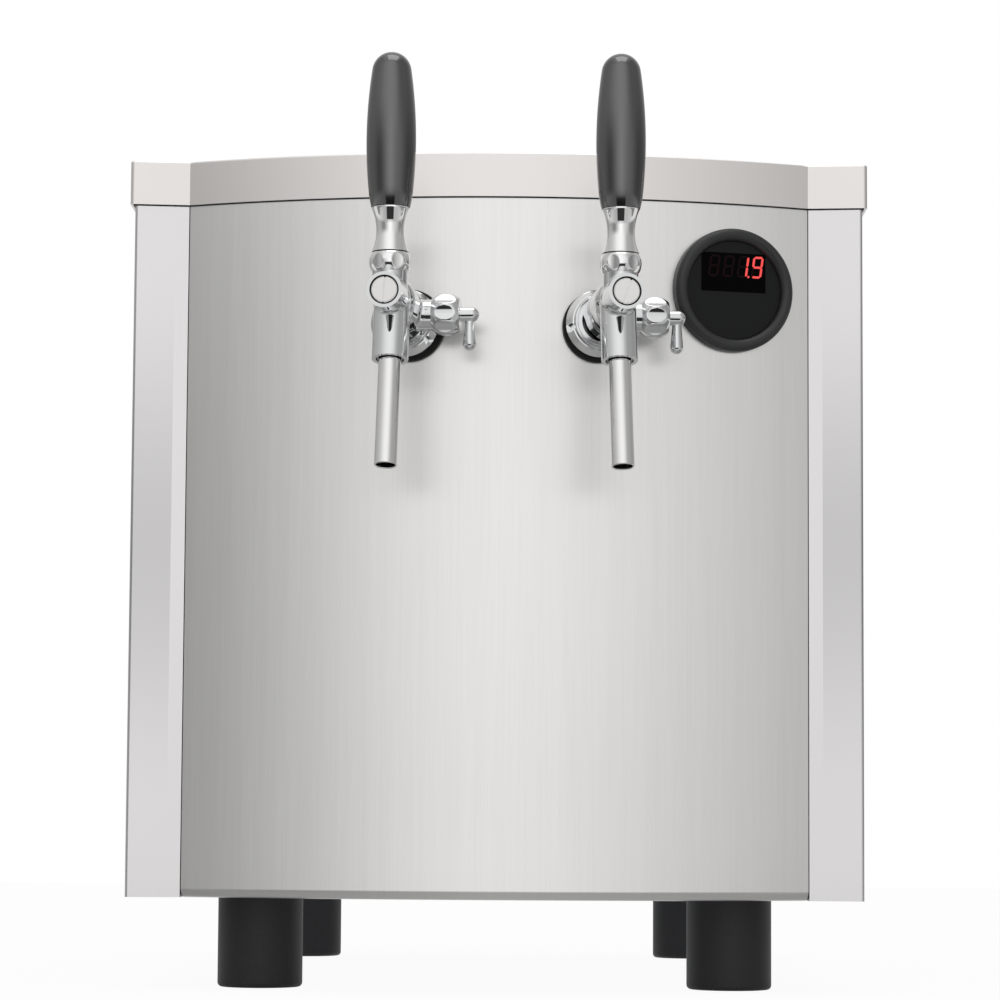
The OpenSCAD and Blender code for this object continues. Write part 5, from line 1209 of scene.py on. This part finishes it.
feed(strip_steel, "Base Color", wire.node("ShaderNodeVectorMath", {"operation": "SCALE"}, painted_shade_inputs))
bend = (is_front_corner, 2.0)
for word in ("left", "right"):
    softened(f"{word}_side_panel", f"{word}_folded_side", 0.2, 2, "root", strip_steel, "satin_steel", bend)
softened("rear_panel", "folded_rear", 0.2, 2, "root", satin_steel, "satin_steel")
softened("base_tray", "folded_tray", 0.2, 2, "root", zinc_steel, "zinc_steel")
print("sheets softened")

# %% [markdown]
# The four feet are moulded rubber cylinders with a round lower edge and a recess for the bolt.

# %% Feet
foot_r, foot_h, foot_edge, recess_edge, top_edge = 23.5, 50.0, 2.5, 0.4, 0.8
foot_recess_r, foot_recess_top, foot_hole_r = 9.0, 34.0, 4.3
foot_model = turned("foot", [
    (foot_hole_r, foot_h), (foot_hole_r, foot_recess_top), (foot_recess_r, foot_recess_top),
    (foot_recess_r, recess_edge), (foot_recess_r + recess_edge, 0),
    *arc((foot_r - foot_edge, foot_edge), foot_edge, -90, 0, 8),
    *arc((foot_r - top_edge, foot_h - top_edge), top_edge, 0, 90, 5), (foot_hole_r, foot_h),
], 112)
for corner in ("front_left", "front_right", "rear_left", "rear_right"):
    low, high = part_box(f"foot_{corner}")
    piece = copy_of(foot_model, f"moulded_foot_{corner}")
    seat(piece, Matrix.Translation(((low.x + high.x) / 2, (low.y + high.y) / 2, low.z)))
    shade(piece, 35)
    dress(piece, "root", foot_rubber, "foot_rubber", f"foot_{corner}")
bpy.data.objects.remove(foot_model)
print("feet stand at z", round(low.z / mm, 3))

# %% [markdown]
# ## The back
#
# Nobody sees the back in the picture, but the part is looked at from all sides. The inlets, the cable
# gland, the switch and the thermostat's knob get soft edges and their own finishes.

# %% Rear fittings
softened("inlet_fittings", "turned_inlets", 0.25, 2, "root", chrome, "chrome")
softened("mains_gland", "moulded_gland", 0.3, 2, "root", black_plastic, "black_plastic")
softened("power_switch_frame", "moulded_switch_frame", 0.3, 3, "root", black_plastic, "black_plastic")
softened("power_switch_rocker", "moulded_rocker", 0.3, 3, "rocker", rocker_red, "rocker_red")
softened("thermostat_knob", "moulded_knob", 0.5, 3, "knob", black_plastic, "black_plastic")
softened("cabinet_screws", "pan_head_screws", 0.3, 2, "root", screw_steel, "screw_steel")
print("rear fittings softened")

# %% [markdown]
# The thermostat's dial is printed on the rear panel: a tick and a number for every 45 degrees of the
# knob, rising clockwise as seen from behind. The knob has a white line, and the rocker has the usual two
# signs for on and off. Each mark is a thin plate or a letter, made a mesh and laid on its surface. Seen
# from behind, right is minus X.

# %% Dial, pointer and switch marks
from_behind = Matrix(((-1, 0, 0), (0, 0, 1), (0, 1, 0))).transposed().to_4x4()
knob_at, rocker_at = [Vector(hinges[name]["pos_m"]) for name in ("knob_turn", "rocker_tilt")]
rear_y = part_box("rear_panel")[1].y
ink = 0.12
on_dial = Matrix.Translation((knob_at.x, rear_y, knob_at.z)) @ from_behind
tick_low, tick_high, number_r, number_h, dial_steps = 18.0, 20.6, 24.2, 5.0, 7
marks = []
for i in range(dial_steps):
    clockwise = 45 * i - 135
    tick = plate("tick", box_outline(0.9, tick_high - tick_low, (tick_low + tick_high) / 2), ink)
    marks.append(seat(tick, on_dial @ spun(-clockwise, "Z")))
    clear_selection()
    bpy.ops.object.text_add()
    number = bpy.context.object
    number.data.body = str(i + 1)
    number.data.align_x, number.data.align_y = "CENTER", "CENTER"
    number.data.size = number_h * 1.4 * mm
    number.data.extrude = ink / 2 * mm
    bpy.ops.object.convert(target="MESH")
    turn_here = math.radians(clockwise)
    at = shift(number_r * math.sin(turn_here), number_r * math.cos(turn_here), ink / 2)
    marks.append(seat(number, on_dial @ at))
dial = joined("dial_marks", *marks)
dress(dial, "root", grey_print, "black_plastic", "rear_panel")

knob_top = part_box("thermostat_knob")[1].y
pointer_w, pointer_h, pointer_mid, pointer_t = 1.6, 10.0, 6.4, 0.1
pointer = plate("pointer", box_outline(pointer_w, pointer_h, pointer_mid), pointer_t)
seat(pointer, Matrix.Translation((knob_at.x, knob_top - pointer_t * mm, knob_at.z)) @ from_behind)
dress(pointer, "knob", white_print, "valve_plastic", "thermostat_knob")

rocker_tilt, rocker_face, rocker_r = 10, 6.5, 11.0
lean = math.radians(rocker_tilt)
to_fold = shift(0, rocker_face * math.sin(lean), rocker_face * math.cos(lean))
fold = Matrix.Translation(rocker_at) @ from_behind @ to_fold
on_upper = fold @ shift(0, rocker_r / 2, 0)
on_lower = fold @ spun(-2 * rocker_tilt, "X") @ shift(0, -rocker_r / 2, 0)
on_mark = seat(plate("on_mark", box_outline(1.0, 5.0), ink), on_upper)
ring = turned("off_mark", [(1.9, 0), (2.7, 0), (2.7, ink), (1.9, ink), (1.9, 0)], 48)
signs = joined("rocker_signs", on_mark, seat(ring, on_lower))
dress(signs, "rocker", white_print, "valve_plastic", "power_switch_rocker")
print("marks at the back:", len(marks), "on the dial")

# %% [markdown]
# ## Inside
#
# The cooling unit and the lines stay as the solids they are. They get finishes of their own: black enamel
# for the compressor, copper for the pipes, clear plastic for the beer lines.

# %% Finishes of the inner pieces
paint(zinc_steel, "fan_bracket", "foot_bolts")
paint(black_plastic, "thermometer_case", "thermometer_nut", "fan_blades", "wiring_loom", "thermostat_body")
paint(gasket_rubber, "compressor_grommets")
paint(cast_aluminium, "cold_block")
paint(fin_aluminium, "condenser")
paint(foam, "insulation_box")
paint(compressor_black, "compressor")
paint(motor_grey, "fan_motor")
paint(copper, "refrigerant_pipes")
paint(line_plastic, "beer_lines")
for word in ("left", "right"):
    paint(brass, f"{word}_tap_back_nut")
    paint(valve_plastic, f"{word}_tap_plunger", f"{word}_compensator_cone")
print("inner pieces painted")
